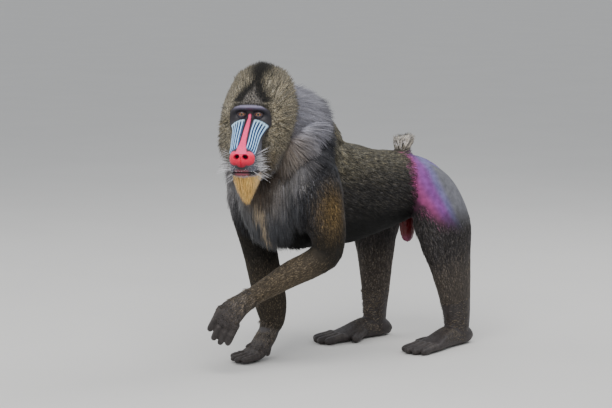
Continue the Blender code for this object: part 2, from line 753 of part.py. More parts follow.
def ring_spot(rings, along, turn_degrees, first_turn=0.0):
    """Point and outward normal at a share of the length and a turn round a stack of rings."""
    count, around = rings.shape[:2]
    i = min(max(along * (count - 1), 0.0), count - 1.001)
    j = ((turn_degrees - first_turn) / 360.0 % 1.0) * around
    i0, j0 = int(i), int(j) % around
    j1 = (j0 + 1) % around
    a, b = i - i0, j - int(j)
    low, high = rings[i0], rings[i0 + 1]
    point = (low[j0] * (1 - b) + low[j1] * b) * (1 - a) + (high[j0] * (1 - b) + high[j1] * b) * a
    by_length = high[j0] + high[j1] - low[j0] - low[j1]
    by_turn = low[j1] + high[j1] - low[j0] - high[j0]
    normal = unit(np.cross(by_length, by_turn))
    middle = (low.mean(axis=0) + high.mean(axis=0)) / 2
    return point, normal if normal @ (point - middle) > 0 else -normal


def body_lock(dice, spot, length, start, lie, width=0.031):
    """One lock on the body; start and lie are (out, back, up) shares of its direction."""
    point, normal = spot
    back, up = np.array([0.0, 1.0, 0.0]), np.array([0.0, 0.0, 1.0])
    ways = [normal * way[0] + back * way[1] + up * way[2] for way in (start, lie)]
    return lock(point, normal, *ways, length * dice.uniform(0.92, 1.06),
                width * dice.uniform(0.9, 1.15), 0.008)


def chest_locks(trunk, neck):
    """The mantle over the nape and shoulders, and the pale bib below the throat."""
    dice = random.Random(7)
    made = []
    for number, (along, first, last, count, length) in enumerate(MANTLE_ROWS):
        for turn in spread_turns(first, last, count, 0.4 if number % 2 else 0.0):
            fall = -0.30 * abs(turn) / 90
            made.append(body_lock(dice, ring_spot(trunk, along, turn), length,
                                  (0.66, 0.70, 0.0), (0.08, 0.95, fall)))
    for number, (along, first, last, count, length) in enumerate(NAPE_ROWS):
        for turn in spread_turns(first, last, count, 0.4 if number % 2 else 0.0):
            fall = -0.30 * abs(turn) / 90
            made.append(body_lock(dice, ring_spot(neck, along, turn - 90), length,
                                  (0.75, 0.60, 0.0), (0.20, 0.9, fall)))
    for along, first, last, count, length in BIB_ROWS:
        for turn in spread_turns(first, last, count, 0.0):
            made.append(body_lock(dice, ring_spot(trunk, along, turn), length,
                                  (0.55, 0.0, -0.6), (0.10, 0.25, -0.95), 0.016))
    return made


def build_trunk():
    trunk = trunk_rings()
    neck = tube_rings(NECK_ROWS, AROUND_NECK)
    front = (0, TRUNK_FRONT[0], TRUNK_FRONT[1])
    chest = solid("chest", piece_of(trunk, 0, CHEST_END), front)
    fuse(chest, [solid("nape", piece_of(neck, 0, NECK_START))] + chest_locks(trunk, neck))
    cut(chest, [neck_solid(GAP), arm_top(ARM_LEFT, GAP), arm_top(ARM_RIGHT, GAP)])
    finish(chest, "chest", "mantle")
    belly = solid("belly", piece_of(trunk, CHEST_END, BELLY_END))
    finish(cut(belly, [groin_solid(GAP)]), "belly", "coat")
    back = (0, TRUNK_BACK[0], TRUNK_BACK[1])
    rump = solid("rump", piece_of(trunk, BELLY_END, len(trunk) - 1), None, back)
    fuse(rump, [ball((side * 0.030, 0.408, 0.392), (0.026, 0.026, 0.036), 8, 5)
                for side in (1, -1)])
    cut(rump, [leg_top(LEG_LEFT, GAP), leg_top(LEG_RIGHT, GAP), tail_solid(GAP),
               groin_solid(GAP)])
    finish(rump, "rump", "rump")
    finish(groin_solid(), "groin", "groin")


def groin_solid(grow=0.0):
    return ball((0.016, 0.312, 0.300), (0.017 + grow, 0.026 + grow, 0.036 + grow), 10, 6)


def tail_solid(grow=0.0):
    return rounded("tail", tube_rings(TAIL_ROWS, AROUND_TAIL, 1, grow), 0.4, 0.7)


def build_tail():
    dice = random.Random(3)
    tail = tail_solid()
    rings = tube_rings(TAIL_ROWS, AROUND_TAIL, 1)
    locks = []
    for k in range(TAIL_LOCKS):
        spot = ring_spot(rings, 0.62 + 0.25 * (k % 2), k * 360 / TAIL_LOCKS + 20)
        locks.append(body_lock(dice, spot, TAIL_LOCK_LENGTH, (0.6, 0.1, 0.6), (0.1, 0.25, 1.0),
                               0.013))
    finish(fuse(tail, locks), "tail", "tail")


# Limbs.

def arm_top(rows, grow=0.0):
    rings = tube_rings(rows, grow=grow)
    return rounded("arm", rings[:ELBOW + 1], 0.5, 0.0)


def leg_top(rows, grow=0.0):
    rings = tube_rings(rows, grow=grow)
    return rounded("leg", rings[:KNEE + 1], 0.5, 0.0)


def top_piece(rings, last):
    """The first stretch of a limb, with a blunt upper end."""
    part = piece_of(rings, 0, last)
    middle, radius = part[0].mean(axis=0), np.linalg.norm(part[0] - part[0].mean(axis=0), axis=1)
    tip = middle + unit(middle - part[1].mean(axis=0)) * radius.mean() * 0.5
    return solid("limb", part, tip)


def below_floor():
    """A block under the floor that trims the soles level."""
    rings = [[(x, y, z) for x, y in ((-1, -1), (1, -1), (1, 1), (-1, 1))] for z in (-0.2, 0.0)]
    return solid("floor", rings)


def digit(points, radius, wide=RIGHT):
    """A finger or toe through points, slightly thicker at its joints, with a blunt tip."""
    size = radius * np.array([1.0, 1.05, 0.9, 0.98, 0.80])
    rows = np.column_stack([points, size, size * 0.92])
    return rounded("digit", tube_rings(rows, AROUND_DIGIT, 1, wide=wide), 0.4, 0.75)


def hand_solid(palm, wrist, wide, bend, floor):
    """Palm, four fingers and a thumb; bend turns the fingers down at their joints.

    The palm's first ring is the wrist's own last ring, so that the two faces match."""
    wide = unit(wide)
    rings = tube_rings(palm, len(wrist), 1, power=2.5, wide=wide)
    shifts = [np.roll(wrist, k, axis=0) for k in range(len(wrist))]
    shifts += [np.roll(wrist[::-1], k, axis=0) for k in range(len(wrist))]
    rings[0] = min(shifts, key=lambda ring: float(np.abs(ring - rings[0]).sum()))
    rings[0] += unit(rings[1].mean(axis=0) - rings[0].mean(axis=0)) * GAP
    hand = rounded("hand", rings, 0.0, 0.5)
    palm = np.asarray(palm)
    tip, before = palm[-1, :3], palm[-3, :3]
    ahead = unit(tip - before)
    down = unit(np.cross(ahead, wide))
    down = down if down[2] < 0 else -down
    parts = []
    for place, length in FINGERS:
        point = tip - ahead * 0.016 + wide * place * 0.034
        line, way = [point], ahead + wide * place * 0.12
        for share, turn in zip((0.16, 0.42, 0.24, 0.18), bend):
            way = unit(way * math.cos(turn) + down * math.sin(turn))
            point = point + way * length * share * 1.25
            line.append(point)
        parts.append(digit(line, FINGER_RADIUS, wide))
    base = palm[1, :3] - wide * 0.020
    thumb = [base + (ahead * k * 0.8 - wide * 0.5 * k + down * 0.25 * k) * THUMB_LENGTH * 1.3
             for k in (0.0, 0.25, 0.5, 0.75, 1.0)]
    parts.append(digit(thumb, FINGER_RADIUS * 0.9, wide))
    fuse(hand, parts)
    return cut(hand, [below_floor()]) if floor else hand


def foot_solid(leg, foot, inner):
    """Foot with four toes and a spread big toe; inner is the sign of the big toe's side."""
    x, y, turn = foot
    ahead = np.array([math.sin(turn), -math.cos(turn), 0.0])
    wide = np.array([math.cos(turn), math.sin(turn), 0.0])
    up = np.array([0.0, 0.0, 1.0])
    ankle = np.array([x, y, 0.0])
    rows = [(*(ankle + ahead * a + up * (top / 2 - 0.002)), half, top / 2 + 0.002)
            for a, half, top in SOLE_ROWS]
    body = rounded("foot", tube_rings(rows, 14, 1, power=FOOT_SQUARENESS, wide=wide), 0.4, 0.4)
    rings = tube_rings(leg)
    parts = [solid("ankle", piece_of(rings, ANKLE, len(rings) - 1))]
    for place, length in TOES:
        side = wide * -inner * place
        base = ankle + ahead * 0.100 + side * 0.031 + up * 0.0105
        way = ahead + side * 0.12
        line = [base + way * length * k + up * rise for k, rise in
                ((0, 0), (0.28, 0.002), (0.55, 0.001), (0.8, -0.002), (1.0, -0.003))]
        parts.append(digit(line, TOE_RADIUS, wide))
    base = ankle + ahead * 0.036 + wide * inner * 0.010 + up * 0.017
    way = unit(ahead * 0.82 + wide * inner * 0.57)
    line = [base + way * BIG_TOE_LENGTH * k + up * rise for k, rise in
            ((0, 0), (0.3, 0.001), (0.6, -0.002), (0.85, -0.005), (1.08, -0.008))]
    parts.append(digit(line, TOE_RADIUS * 1.12, wide))
    fuse(body, parts)
    return cut(body, [below_floor()])


def build_limbs():
    for side, arm, palm, wide, bend, floor in (
            ("left", ARM_LEFT, PALM_LEFT, PALM_LEFT_WIDE, (0.15, 0.45, 0.35, 0.2), False),
            ("right", ARM_RIGHT, PALM_RIGHT, PALM_RIGHT_WIDE, (0.0, -0.50, -0.10, 0.0), True)):
        rings = tube_rings(arm)
        upper = cut(top_piece(rings, ELBOW), [neck_solid(GAP)])
        finish(upper, "upper_arm_" + side, "coat")
        finish(solid("forearm", piece_of(rings, ELBOW, WRIST)), "forearm_" + side, "coat")
        finish(hand_solid(palm, rings[WRIST], wide, bend, floor), "hand_" + side, "dark_skin")
    for side, leg, foot, inner in (("left", LEG_LEFT, FOOT_LEFT, -1),
                                   ("right", LEG_RIGHT, FOOT_RIGHT, 1)):
        rings = tube_rings(leg)
        finish(top_piece(rings, KNEE), "thigh_" + side, "coat")
        finish(solid("shin", piece_of(rings, KNEE, ANKLE)), "shin_" + side, "coat")
        finish(foot_solid(leg, foot, inner), "foot_" + side, "dark_skin")


def main():
    clear_scene()
    build_head()
    build_neck()
    build_trunk()
    build_tail()
    build_limbs()


main()
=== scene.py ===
"""Adult male mandrill at life size: one skin under a coat of solid tufts, and a painted face.

Metres, +Z up. The body's own frame faces -Y with its left side at +X and its floor at Z = 0;
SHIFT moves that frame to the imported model's. The head is worked out in centimetres from the
midpoint between the eyes: left, forward, up.
"""

import json
import math
from functools import lru_cache

import bpy
import numpy as np
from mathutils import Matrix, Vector

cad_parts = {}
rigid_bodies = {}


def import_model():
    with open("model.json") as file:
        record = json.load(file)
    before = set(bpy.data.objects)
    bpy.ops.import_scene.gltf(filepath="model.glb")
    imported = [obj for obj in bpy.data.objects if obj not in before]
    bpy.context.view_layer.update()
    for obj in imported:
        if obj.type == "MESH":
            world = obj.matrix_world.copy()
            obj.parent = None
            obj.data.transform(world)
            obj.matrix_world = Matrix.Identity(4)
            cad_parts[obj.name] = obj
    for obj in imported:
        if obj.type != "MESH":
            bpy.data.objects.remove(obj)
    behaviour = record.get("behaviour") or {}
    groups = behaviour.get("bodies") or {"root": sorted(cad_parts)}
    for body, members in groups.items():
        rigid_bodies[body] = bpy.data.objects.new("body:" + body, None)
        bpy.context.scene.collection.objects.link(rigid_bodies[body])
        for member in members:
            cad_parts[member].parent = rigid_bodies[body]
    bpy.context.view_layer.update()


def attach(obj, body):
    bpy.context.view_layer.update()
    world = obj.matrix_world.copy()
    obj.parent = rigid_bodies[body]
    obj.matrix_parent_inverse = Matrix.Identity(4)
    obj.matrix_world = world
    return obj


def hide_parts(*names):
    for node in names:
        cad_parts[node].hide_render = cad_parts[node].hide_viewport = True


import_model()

bl_info = {
    "name": "Mandrill",
    "version": (1, 0, 0),
    "blender": (4, 5, 0),
    "location": "View3D > Sidebar > Mandrill",
    "description": "Builds the skin, face and coat of a life-size male mandrill",
    "category": "Object",
}

MARKS = "marks"         # attribute that carries the colours of skin and coat
SIDES = ((1, "left"), (-1, "right"))
SHIFT = np.array((-0.005, -0.061, 0.0))
CM = 0.01

# Trunk: distance back, top, bottom and half width of the coat's core, from chest to rump.
TRUNK_ROWS = [
    (-0.145, 0.480, 0.352, 0.060),
    (-0.115, 0.528, 0.302, 0.092),
    (-0.060, 0.568, 0.270, 0.118),
    (0.000, 0.566, 0.260, 0.124),
    (0.070, 0.532, 0.258, 0.121),
    (0.140, 0.512, 0.266, 0.117),
    (0.210, 0.494, 0.282, 0.108),
    (0.280, 0.484, 0.300, 0.104),
    (0.340, 0.470, 0.312, 0.100),
    (0.385, 0.441, 0.320, 0.088),
    (0.415, 0.412, 0.332, 0.062),
]
TRUNK_SQUARENESS = 2.15

# Limb rows: x, y, z of the centre, then half width and half depth of the coat's core.
NECK_ROWS = [
    (0.000, 0.030, 0.474, 0.082, 0.082),
    (0.001, 0.002, 0.506, 0.092, 0.092),
    (0.004, -0.040, 0.532, 0.093, 0.098),
    (0.012, -0.090, 0.560, 0.086, 0.090),
    (0.024, -0.134, 0.584, 0.066, 0.070),
    (0.032, -0.158, 0.598, 0.047, 0.049),
]
ARM_LEFT = [
    (0.058, -0.056, 0.516, 0.030, 0.040),
    (0.086, -0.060, 0.482, 0.056, 0.068),
    (0.105, -0.058, 0.430, 0.063, 0.073),
    (0.117, -0.050, 0.370, 0.058, 0.066),
    (0.124, -0.038, 0.318, 0.047, 0.055),
    (0.121, -0.040, 0.276, 0.041, 0.047),
    (0.110, -0.072, 0.252, 0.038, 0.041),
    (0.092, -0.120, 0.231, 0.035, 0.037),
    (0.072, -0.166, 0.205, 0.030, 0.030),
    (0.054, -0.205, 0.182, 0.026, 0.024),
    (0.046, -0.222, 0.170, 0.025, 0.021),
]
ARM_RIGHT = [
    (-0.058, -0.074, 0.511, 0.030, 0.040),
    (-0.086, -0.080, 0.478, 0.055, 0.064),
    (-0.103, -0.082, 0.430, 0.062, 0.068),
    (-0.109, -0.077, 0.370, 0.057, 0.062),
    (-0.107, -0.068, 0.310, 0.050, 0.054),
    (-0.100, -0.062, 0.262, 0.045, 0.048),
    (-0.092, -0.057, 0.220, 0.043, 0.046),
    (-0.082, -0.051, 0.170, 0.042, 0.045),
    (-0.074, -0.047, 0.124, 0.040, 0.041),
    (-0.069, -0.048, 0.090, 0.034, 0.031),
    (-0.069, -0.056, 0.068, 0.028, 0.021),
]
LEG_LEFT = [
    (0.040, 0.314, 0.440, 0.028, 0.040),
    (0.068, 0.318, 0.408, 0.050, 0.060),
    (0.090, 0.334, 0.362, 0.057, 0.074),
    (0.107, 0.344, 0.308, 0.054, 0.083),
    (0.115, 0.350, 0.262, 0.047, 0.078),
    (0.117, 0.360, 0.216, 0.042, 0.066),
    (0.117, 0.371, 0.166, 0.039, 0.055),
    (0.116, 0.381, 0.116, 0.035, 0.046),
    (0.115, 0.388, 0.076, 0.031, 0.040),
    (0.115, 0.389, 0.040, 0.028, 0.035),
    (0.115, 0.384, 0.018, 0.022, 0.030),
]
LEG_RIGHT = [
    (-0.040, 0.310, 0.440, 0.028, 0.040),
    (-0.068, 0.314, 0.408, 0.050, 0.060),
    (-0.090, 0.326, 0.362, 0.056, 0.075),
    (-0.108, 0.326, 0.312, 0.051, 0.080),
    (-0.110, 0.320, 0.262, 0.044, 0.070),
    (-0.106, 0.317, 0.216, 0.039, 0.059),
    (-0.100, 0.312, 0.166, 0.036, 0.050),
    (-0.094, 0.307, 0.116, 0.033, 0.042),
    (-0.091, 0.303, 0.076, 0.030, 0.036),
    (-0.090, 0.301, 0.040, 0.027, 0.032),
    (-0.090, 0.294, 0.018, 0.021, 0.027),
]
TAIL_ROWS = [
    (0.000, 0.300, 0.440, 0.021, 0.021),
    (0.000, 0.303, 0.470, 0.021, 0.021),
    (0.000, 0.308, 0.489, 0.017, 0.017),
    (0.000, 0.314, 0.502, 0.011, 0.011),
]
TRUNK_LINE = [(0.0, y, (top + low) / 2, half, (top - low) / 2)
              for y, top, low, half in TRUNK_ROWS]

# Swellings on both sides, of the seat, the buttock and the shoulder: centre and radii.
SWELLINGS = (
    ((0.030, 0.396, 0.374), (0.022, 0.021, 0.031)),
    ((0.062, 0.346, 0.386), (0.042, 0.046, 0.050)),
    ((0.066, -0.082, 0.512), (0.040, 0.056, 0.054)),
    ((0.070, -0.030, 0.490), (0.040, 0.060, 0.060)),
    ((0.070, -0.072, 0.540), (0.032, 0.046, 0.036)),
)

# Bones that the coat follows: rows, and how deep the skin lies under the coat's surface at
# the first row and at the last.
BONES = {
    "trunk": (TRUNK_LINE, 0.016, 0.006),
    "neck": (NECK_ROWS, 0.010, 0.014),
    "arm_left": (ARM_LEFT, 0.017, 0.0020),
    "arm_right": (ARM_RIGHT, 0.012, 0.0010),
    "leg_left": (LEG_LEFT, 0.006, 0.0025),
    "leg_right": (LEG_RIGHT, 0.006, 0.0025),
    "tail": (TAIL_ROWS, 0.003, 0.003),
}
BONE_FADING = 7.0       # power of the distance by which a bone's share fades
BONE_NAMES = list(BONES)
bone = BONE_NAMES.index

# Hands: x, y, z of the palm's middle line from the wrist, half width, half thickness.
PALM_LEFT = [
    (0.0540, -0.205, 0.182, 0.022, 0.020),
    (0.0460, -0.222, 0.170, 0.0235, 0.0195),
    (0.0415, -0.236, 0.161, 0.026, 0.017),
    (0.0380, -0.251, 0.150, 0.029, 0.015),
    (0.0350, -0.264, 0.138, 0.030, 0.013),
    (0.0330, -0.271, 0.130, 0.026, 0.010),
]
PALM_RIGHT = [
    (-0.0700, -0.052, 0.086, 0.025, 0.022),
    (-0.0690, -0.056, 0.068, 0.0265, 0.0195),
    (-0.0680, -0.068, 0.050, 0.030, 0.018),
    (-0.0670, -0.084, 0.033, 0.033, 0.015),
    (-0.0660, -0.102, 0.018, 0.035, 0.014),
    (-0.0650, -0.116, 0.010, 0.031, 0.012),
]
# Side, palm, direction from the thumb's side to the little finger's, then the bend at each
# joint and how far the fingers lean to that side.
HANDS = (
    ("left", PALM_LEFT, (0.56, 0.42, -0.71), (0.10, 0.26, 0.22, 0.12, 0.28)),
    ("right", PALM_RIGHT, (-1.0, 0.05, 0.0), (0.0, -0.50, -0.10, 0.0, 0.0)),
)
FINGERS = ((-0.72, 0.047), (-0.25, 0.054), (0.24, 0.051), (0.70, 0.041))
FINGER_RADIUS = 0.0079
FINGER_SPREAD = 0.036
BONE_SHARES = (0.16, 0.42, 0.24, 0.18)      # of a finger's length, from the palm to the tip
FINGER_KNUCKLES = ((1, 0.0012, 0.0093), (2, 0.0010, 0.0083))    # joint, lift and radius
THUMB_LENGTH = 0.030
DIGIT_SIZES = (1.06, 1.10, 1.00, 1.02, 0.90)    # of a digit's radius, from its root to its tip

# Feet: distance forward of the ankle, half width and height of the foot's top.
SOLE_ROWS = [
    (-0.046, 0.009, 0.016),
    (-0.038, 0.019, 0.032),
    (-0.018, 0.024, 0.048),
    (0.014, 0.024, 0.053),
    (0.046, 0.026, 0.046),
    (0.078, 0.031, 0.034),
    (0.104, 0.034, 0.025),
    (0.118, 0.029, 0.017),
]
FOOT_SQUARENESS = 2.6
TOES = ((-0.76, 0.060), (-0.26, 0.070), (0.25, 0.067), (0.74, 0.056))
TOE_RADIUS = 0.0102
BIG_TOE_LENGTH = 0.060
# Place along a toe and the lift of its line there, for the four toes and the big one.
TOE_LINE = ((0, 0), (0.28, 0.002), (0.55, 0.001), (0.8, -0.001), (1.0, -0.002))
BIG_TOE_LINE = ((0, 0), (0.3, 0.001), (0.6, -0.002), (0.85, -0.004), (1.08, -0.006))
# Side, leg, ankle's x and y, turned out by, and the sign of the big toe's side.
FEET = (
    ("left", LEG_LEFT, (0.115, 0.388, math.radians(6)), -1),
    ("right", LEG_RIGHT, (-0.090, 0.298, math.radians(-6)), 1),
)

# Head, in centimetres from the midpoint between the eyes.
EYES_AT = (0.074, -0.223, 0.604)
HEAD_TURN = math.radians(39.6)
NOSE_POLE = (10.9, -9.3)
# Each row: dorsal point (forward, up), ventral point (forward, up), half width,
# squareness, then the depth of the coat's dense core at the top, side and bottom.
HEAD_ROWS = [
    (10.7, -7.9, 10.4, -10.7, 1.9, 2.3, 0.0, 0.0, 0.0),
    (10.0, -6.8, 9.4, -12.9, 2.65, 2.5, 0.0, 0.0, 0.0),
    (8.8, -5.9, 7.8, -14.1, 2.9, 2.7, 0.0, 0.0, 0.0),
    (7.0, -4.6, 5.3, -14.4, 3.15, 2.8, 0.0, 0.0, 0.1),
    (5.0, -3.2, 2.8, -14.0, 3.5, 2.7, 0.0, 0.2, 0.3),
    (3.0, -1.9, 0.2, -13.3, 4.15, 2.5, 0.0, 0.6, 0.6),
    (1.5, -0.8, -2.2, -12.5, 5.2, 2.4, 0.0, 1.0, 0.8),
    (1.3, 0.5, -4.2, -11.3, 5.8, 2.3, 0.0, 1.2, 0.9),
    (1.8, 1.7, -6.0, -9.9, 6.1, 2.3, 0.0, 1.3, 0.9),
    (1.0, 3.2, -7.8, -8.2, 6.3, 2.2, 0.4, 1.4, 0.9),
    (-0.8, 4.6, -9.6, -6.0, 6.4, 2.1, 1.0, 1.5, 0.9),
    (-3.2, 5.9, -11.2, -3.4, 6.2, 2.0, 1.5, 1.6, 1.0),
    (-6.0, 6.4, -12.3, -0.8, 5.4, 2.0, 1.8, 1.6, 1.2),
    (-8.8, 5.6, -12.8, 1.6, 3.8, 2.0, 1.7, 1.4, 1.4),
]
CROWN_POLE = (-12.2, 4.9)
HEAD_AROUND = 320                   # points round each ring of the head
HEAD_COAT = 0.1                     # share of the dense core that the skull's skin keeps

EYE_CENTRE = (1.9, 0.12, -0.05)
EYE_RADIUS = 1.15
EYE_OPEN = (0.74, 0.36)             # half width and half height between the lids
RIDGE_EDGES = (11.0, 63.0)          # where the cheek ridges lie round the muzzle, in degrees
RIDGE_COUNT = 5
RIDGE_ROWS = (5.75, 1.05)
NOSE_BALLS = (                      # centre and radii of the nose pad's three swellings
    ((0.0, 9.95, -9.15), (1.62, 1.25, 1.70)),
    ((1.25, 9.70, -8.98), (1.50, 1.25, 1.62)),
    ((-1.25, 9.70, -8.98), (1.50, 1.25, 1.62)),
)
NOSE_HEART = (0.0, 8.9, -9.0)
NOSE_SOFTNESS = 0.10                # how softly the swellings run together
NOSTRIL = (1.04, -8.55)             # to the side and up
NOSTRIL_RADII = (0.54, 0.42)
NOSTRIL_TILT = 28
STRIP_ROWS = (-1.0, 0.4, 1.4, 2.5, 4.0, 5.3, 6.7)      # the nose ridge's strip: rows,
STRIP_WIDTHS = (1.4, 1.25, 0.88, 0.62, 0.52, 0.40, 0.20)    # then half widths
MOUTH_UP = -12.15
MOUTH_RISE = 0.7
MOUTH_CORNER = 4.3
EAR_CENTRE = (7.0, -6.6, 1.0)
EAR_RADII = (0.70, 1.40, 2.0)

# Head row where the hair starts, at turns round the head from the top to the throat.
HAIR_TURNS = (0, 30, 44, 54, 60, 66, 80, 95, 120, 150, 180)
HAIR_ROWS = (8.35, 8.35, 8.2, 6.6, 5.0, 4.2, 3.8, 3.75, 3.9, 3.6, 3.3)

# How much shorter the hood's side hair is at these heights in the head, left and right.
HOOD_HEIGHTS = (-9.0, -6.0, -4.0, -1.0, 1.0, 3.0, 12.0)
HOOD_TRIM_LEFT = (0.38, 0.36, 0.18, -0.06, -0.14, -0.14, -0.14)
HOOD_TRIM_RIGHT = (-0.10, 0.06, 0.22, 0.40, 0.44, 0.46, 0.42)

# Rear edge of the mantle: height, then distance back, from the nape down to the chest.
MANTLE_EDGE = ((0.30, -0.135), (0.40, -0.120), (0.42, -0.111), (0.447, -0.095),
               (0.464, -0.077), (0.488, -0.048), (0.510, -0.008), (0.531, 0.010),
               (0.57, 0.025), (0.62, 0.048))
# Front edge of the rump's colours: height, then distance back.
RUMP_EDGE = ((0.290, 0.300), (0.305, 0.290), (0.322, 0.276), (0.349, 0.265), (0.384, 0.253),
             (0.414, 0.247), (0.441, 0.251), (0.471, 0.270), (0.52, 0.285))
# How far ahead of its rear edge the mantle is dark: heights, then widths.
RIM_HEIGHTS = (0.40, 0.43, 0.45, 0.475, 0.50, 0.53, 0.60)
RIM_WIDTHS = (-0.020, -0.004, 0.014, 0.040, 0.052, 0.044, 0.042)
# Warm spots of the mantle on both sides: centre, size, setting and share.
MANTLE_SPOTS = (((0.086, -0.126, 0.510), 0.038, "bib", 0.45),
                ((0.080, -0.112, 0.522), 0.030, "throat", 0.75),
                ((0.060, -0.130, 0.472), 0.026, "throat", 0.75))
GOLD_PATCHES = ((0.165, -0.052, 0.378), (-0.155, -0.078, 0.378))
GOLD_RADII = (0.060, 0.040, 0.060)
# Settings of the colours that follow each other down a limb or back over the rump, and
# between which places each one comes in.
ARM_BANDS = (("elbow", 0.30, 0.42), ("forearm", 0.50, 0.64), ("wrist", 0.82, 1.0))
LEG_BANDS = (("shin", 0.38, 0.60), ("wrist", 0.75, 0.95))
RUMP_BANDS = (("purple", 0.016, 0.040), ("lilac", 0.044, 0.062))
GOLD_SHARE = 0.92
SEAT_AT = (0.030, 0.374)            # to the side and up, of the seat's horny pads
# Line of the chest's pale fringe: heights, then distances to the left of the middle.
FRINGE_HEIGHTS = (0.28, 0.35, 0.42)
FRINGE_LEFT = (0.010, 0.021, 0.026)
FRINGE_WIDTH = 0.0055


# Small sums.

def unit(v):
    """The rows of v, each made one long."""
    v = np.asarray(v, float)
    return v / np.maximum(np.linalg.norm(v, axis=-1, keepdims=True), 1e-12)


def rise(x, low, high):
    """0 at low, 1 at high and a smooth 3t^2 - 2t^3 between; low may be the larger."""
    t = np.clip((np.asarray(x, float) - low) / (high - low), 0.0, 1.0)
    return t * t * (3 - 2 * t)


def bell(x, middle, width):
    """A bell curve exp(-((x - middle) / width)^2)."""
    return np.exp(-((np.asarray(x, float) - middle) / width) ** 2)


def graded(settings, first, bands, place):
    """Colours along a place: the first setting's, then each band's from its low to its high."""
    colour = getattr(settings, first)
    for name, low, high in bands:
        colour = mixed(colour, getattr(settings, name), rise(place, low, high))
    return colour


def mixed(a, b, share):
    """Colours a and b mixed by share, which has one value for each colour."""
    share = np.asarray(share, float)[..., None]
    return np.asarray(a, float) * (1 - share) + np.asarray(b, float) * share


def linear(red, green, blue):
    """A colour as the eye sees it, 0 to 255, as linear light."""
    v = np.array((red, green, blue)) / 255.0
    return tuple(float(x) for x in np.where(v <= 0.04045, v / 12.92, ((v + 0.055) / 1.055) ** 2.4))


def waves(points, size, seed, count=7):
    """Smooth noise of about -1 to 1: a sum of sines along random directions, size apart."""
    dice = np.random.default_rng(seed)
    ways = unit(dice.normal(size=(count, 3))) * dice.uniform(0.6, 1.5, (count, 1))
    phases = dice.uniform(0, 2 * math.pi, count)
    return np.sin(points @ ways.T * (2 * math.pi / size) + phases).sum(axis=-1) / count ** 0.5


def row_at(rows, at):
    """Values of a table of rows at fractional places, on a Catmull-Rom curve."""
    rows = np.asarray(rows, float)
    padded = np.vstack([2 * rows[0] - rows[1], rows, 2 * rows[-1] - rows[-2]])
    at = np.asarray(at, float)
    i = np.clip(np.floor(at).astype(int), 0, len(rows) - 2)
    t = (at - i)[..., None]
    a, b, c, d = padded[i], padded[i + 1], padded[i + 2], padded[i + 3]
    return 0.5 * (2 * b + (c - a) * t + (2 * a - 5 * b + 4 * c - d) * t**2
                  + (3 * b - a - 3 * c + d) * t**3)


def along_line(line, at):
    """The second value of a line of pairs, read at values of the first."""
    return np.interp(at, *zip(*line))


def turns(around):
    """Angles evenly spaced round a ring."""
    return np.arange(around) * 2 * math.pi / around


def power_wave(wave, power):
    """A sine or cosine made squarer, as in a superellipse."""
    return np.sign(wave) * np.abs(wave) ** (2.0 / power)


# Meshes from arrays.

def ring_faces(rings, around):
    """Quads between neighbouring rings of a closed tube."""
    i = np.arange(rings - 1)[:, None] * around
    j = np.arange(around)[None, :]
    k = (j + 1) % around
    return np.stack([i + j, i + k, i + around + k, i + around + j], axis=-1).reshape(-1, 4)


def with_poles(values):
    """Values of a grid of rings as one list, with those of its two poles at the end."""
    flat = values.reshape(-1, 3)
    return np.vstack([flat, flat[:1], flat[-1:]])


def closed_rings(rings, start, end):
    """Points and faces of a tube of rings that ends in the two pole points."""
    count, around = rings.shape[:2]
    points = np.vstack([rings.reshape(-1, 3), [start], [end]])
    j = np.arange(around)
    k = (j + 1) % around
    low, high = count * around, count * around + 1
    first = np.stack([k, j, np.full(around, low)], axis=-1)
    last = np.stack([j, k, np.full(around, high)], axis=-1) + [[(count - 1) * around] * 2 + [0]]
    faces = [ring_faces(count, around), first, last]
    volume = sum(np.einsum("ij,ij", points[f[:, 0]], np.cross(points[f[:, n]], points[f[:, n + 1]]))
                 for f in faces for n in range(1, f.shape[1] - 1))
    return points, faces if volume > 0 else [f[:, ::-1] for f in faces]


def joined(shapes):
    """Several (points, faces) as one."""
    points, faces, first = [], [], 0
    for some, parts in shapes:
        points.append(some)
        faces += [part + first for part in parts]
        first += len(some)
    return np.vstack(points), faces


def place_points(mesh, points):
    """Sets a mesh's points, given in the body's own frame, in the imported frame."""
    mesh.vertices.foreach_set("co", (points + SHIFT).astype(np.float32).ravel())


def mesh_object(name, points, corners, sizes):
    """A smooth mesh object from points, the faces' corners in order and their counts."""
    mesh = bpy.data.meshes.new(name)
    mesh.vertices.add(len(points))
    place_points(mesh, points)
    mesh.loops.add(len(corners))
    mesh.loops.foreach_set("vertex_index", corners.astype(np.int32))
    mesh.polygons.add(len(sizes))
    mesh.polygons.foreach_set("loop_start", (np.cumsum(sizes) - sizes).astype(np.int32))
    mesh.polygons.foreach_set("use_smooth", np.ones(len(sizes), bool))
    mesh.update(calc_edges=True)
    obj = bpy.data.objects.new(name, mesh)
    bpy.context.scene.collection.objects.link(obj)
    return obj


def make_mesh(name, points, faces):
    """A mesh object from points and a list of face arrays."""
    sizes = np.concatenate([np.full(len(part), part.shape[1]) for part in faces])
    return mesh_object(name, points, np.concatenate([part.ravel() for part in faces]), sizes)


def set_colours(obj, colours):
    """A colour for each point, as the attribute that the materials read."""
    full = np.ones((len(colours), 4), np.float32)
    full[:, :3] = np.clip(colours, 0, 1)
    layer = obj.data.attributes.new(MARKS, "FLOAT_COLOR", "POINT")
    layer.data.foreach_set("color", full.ravel())


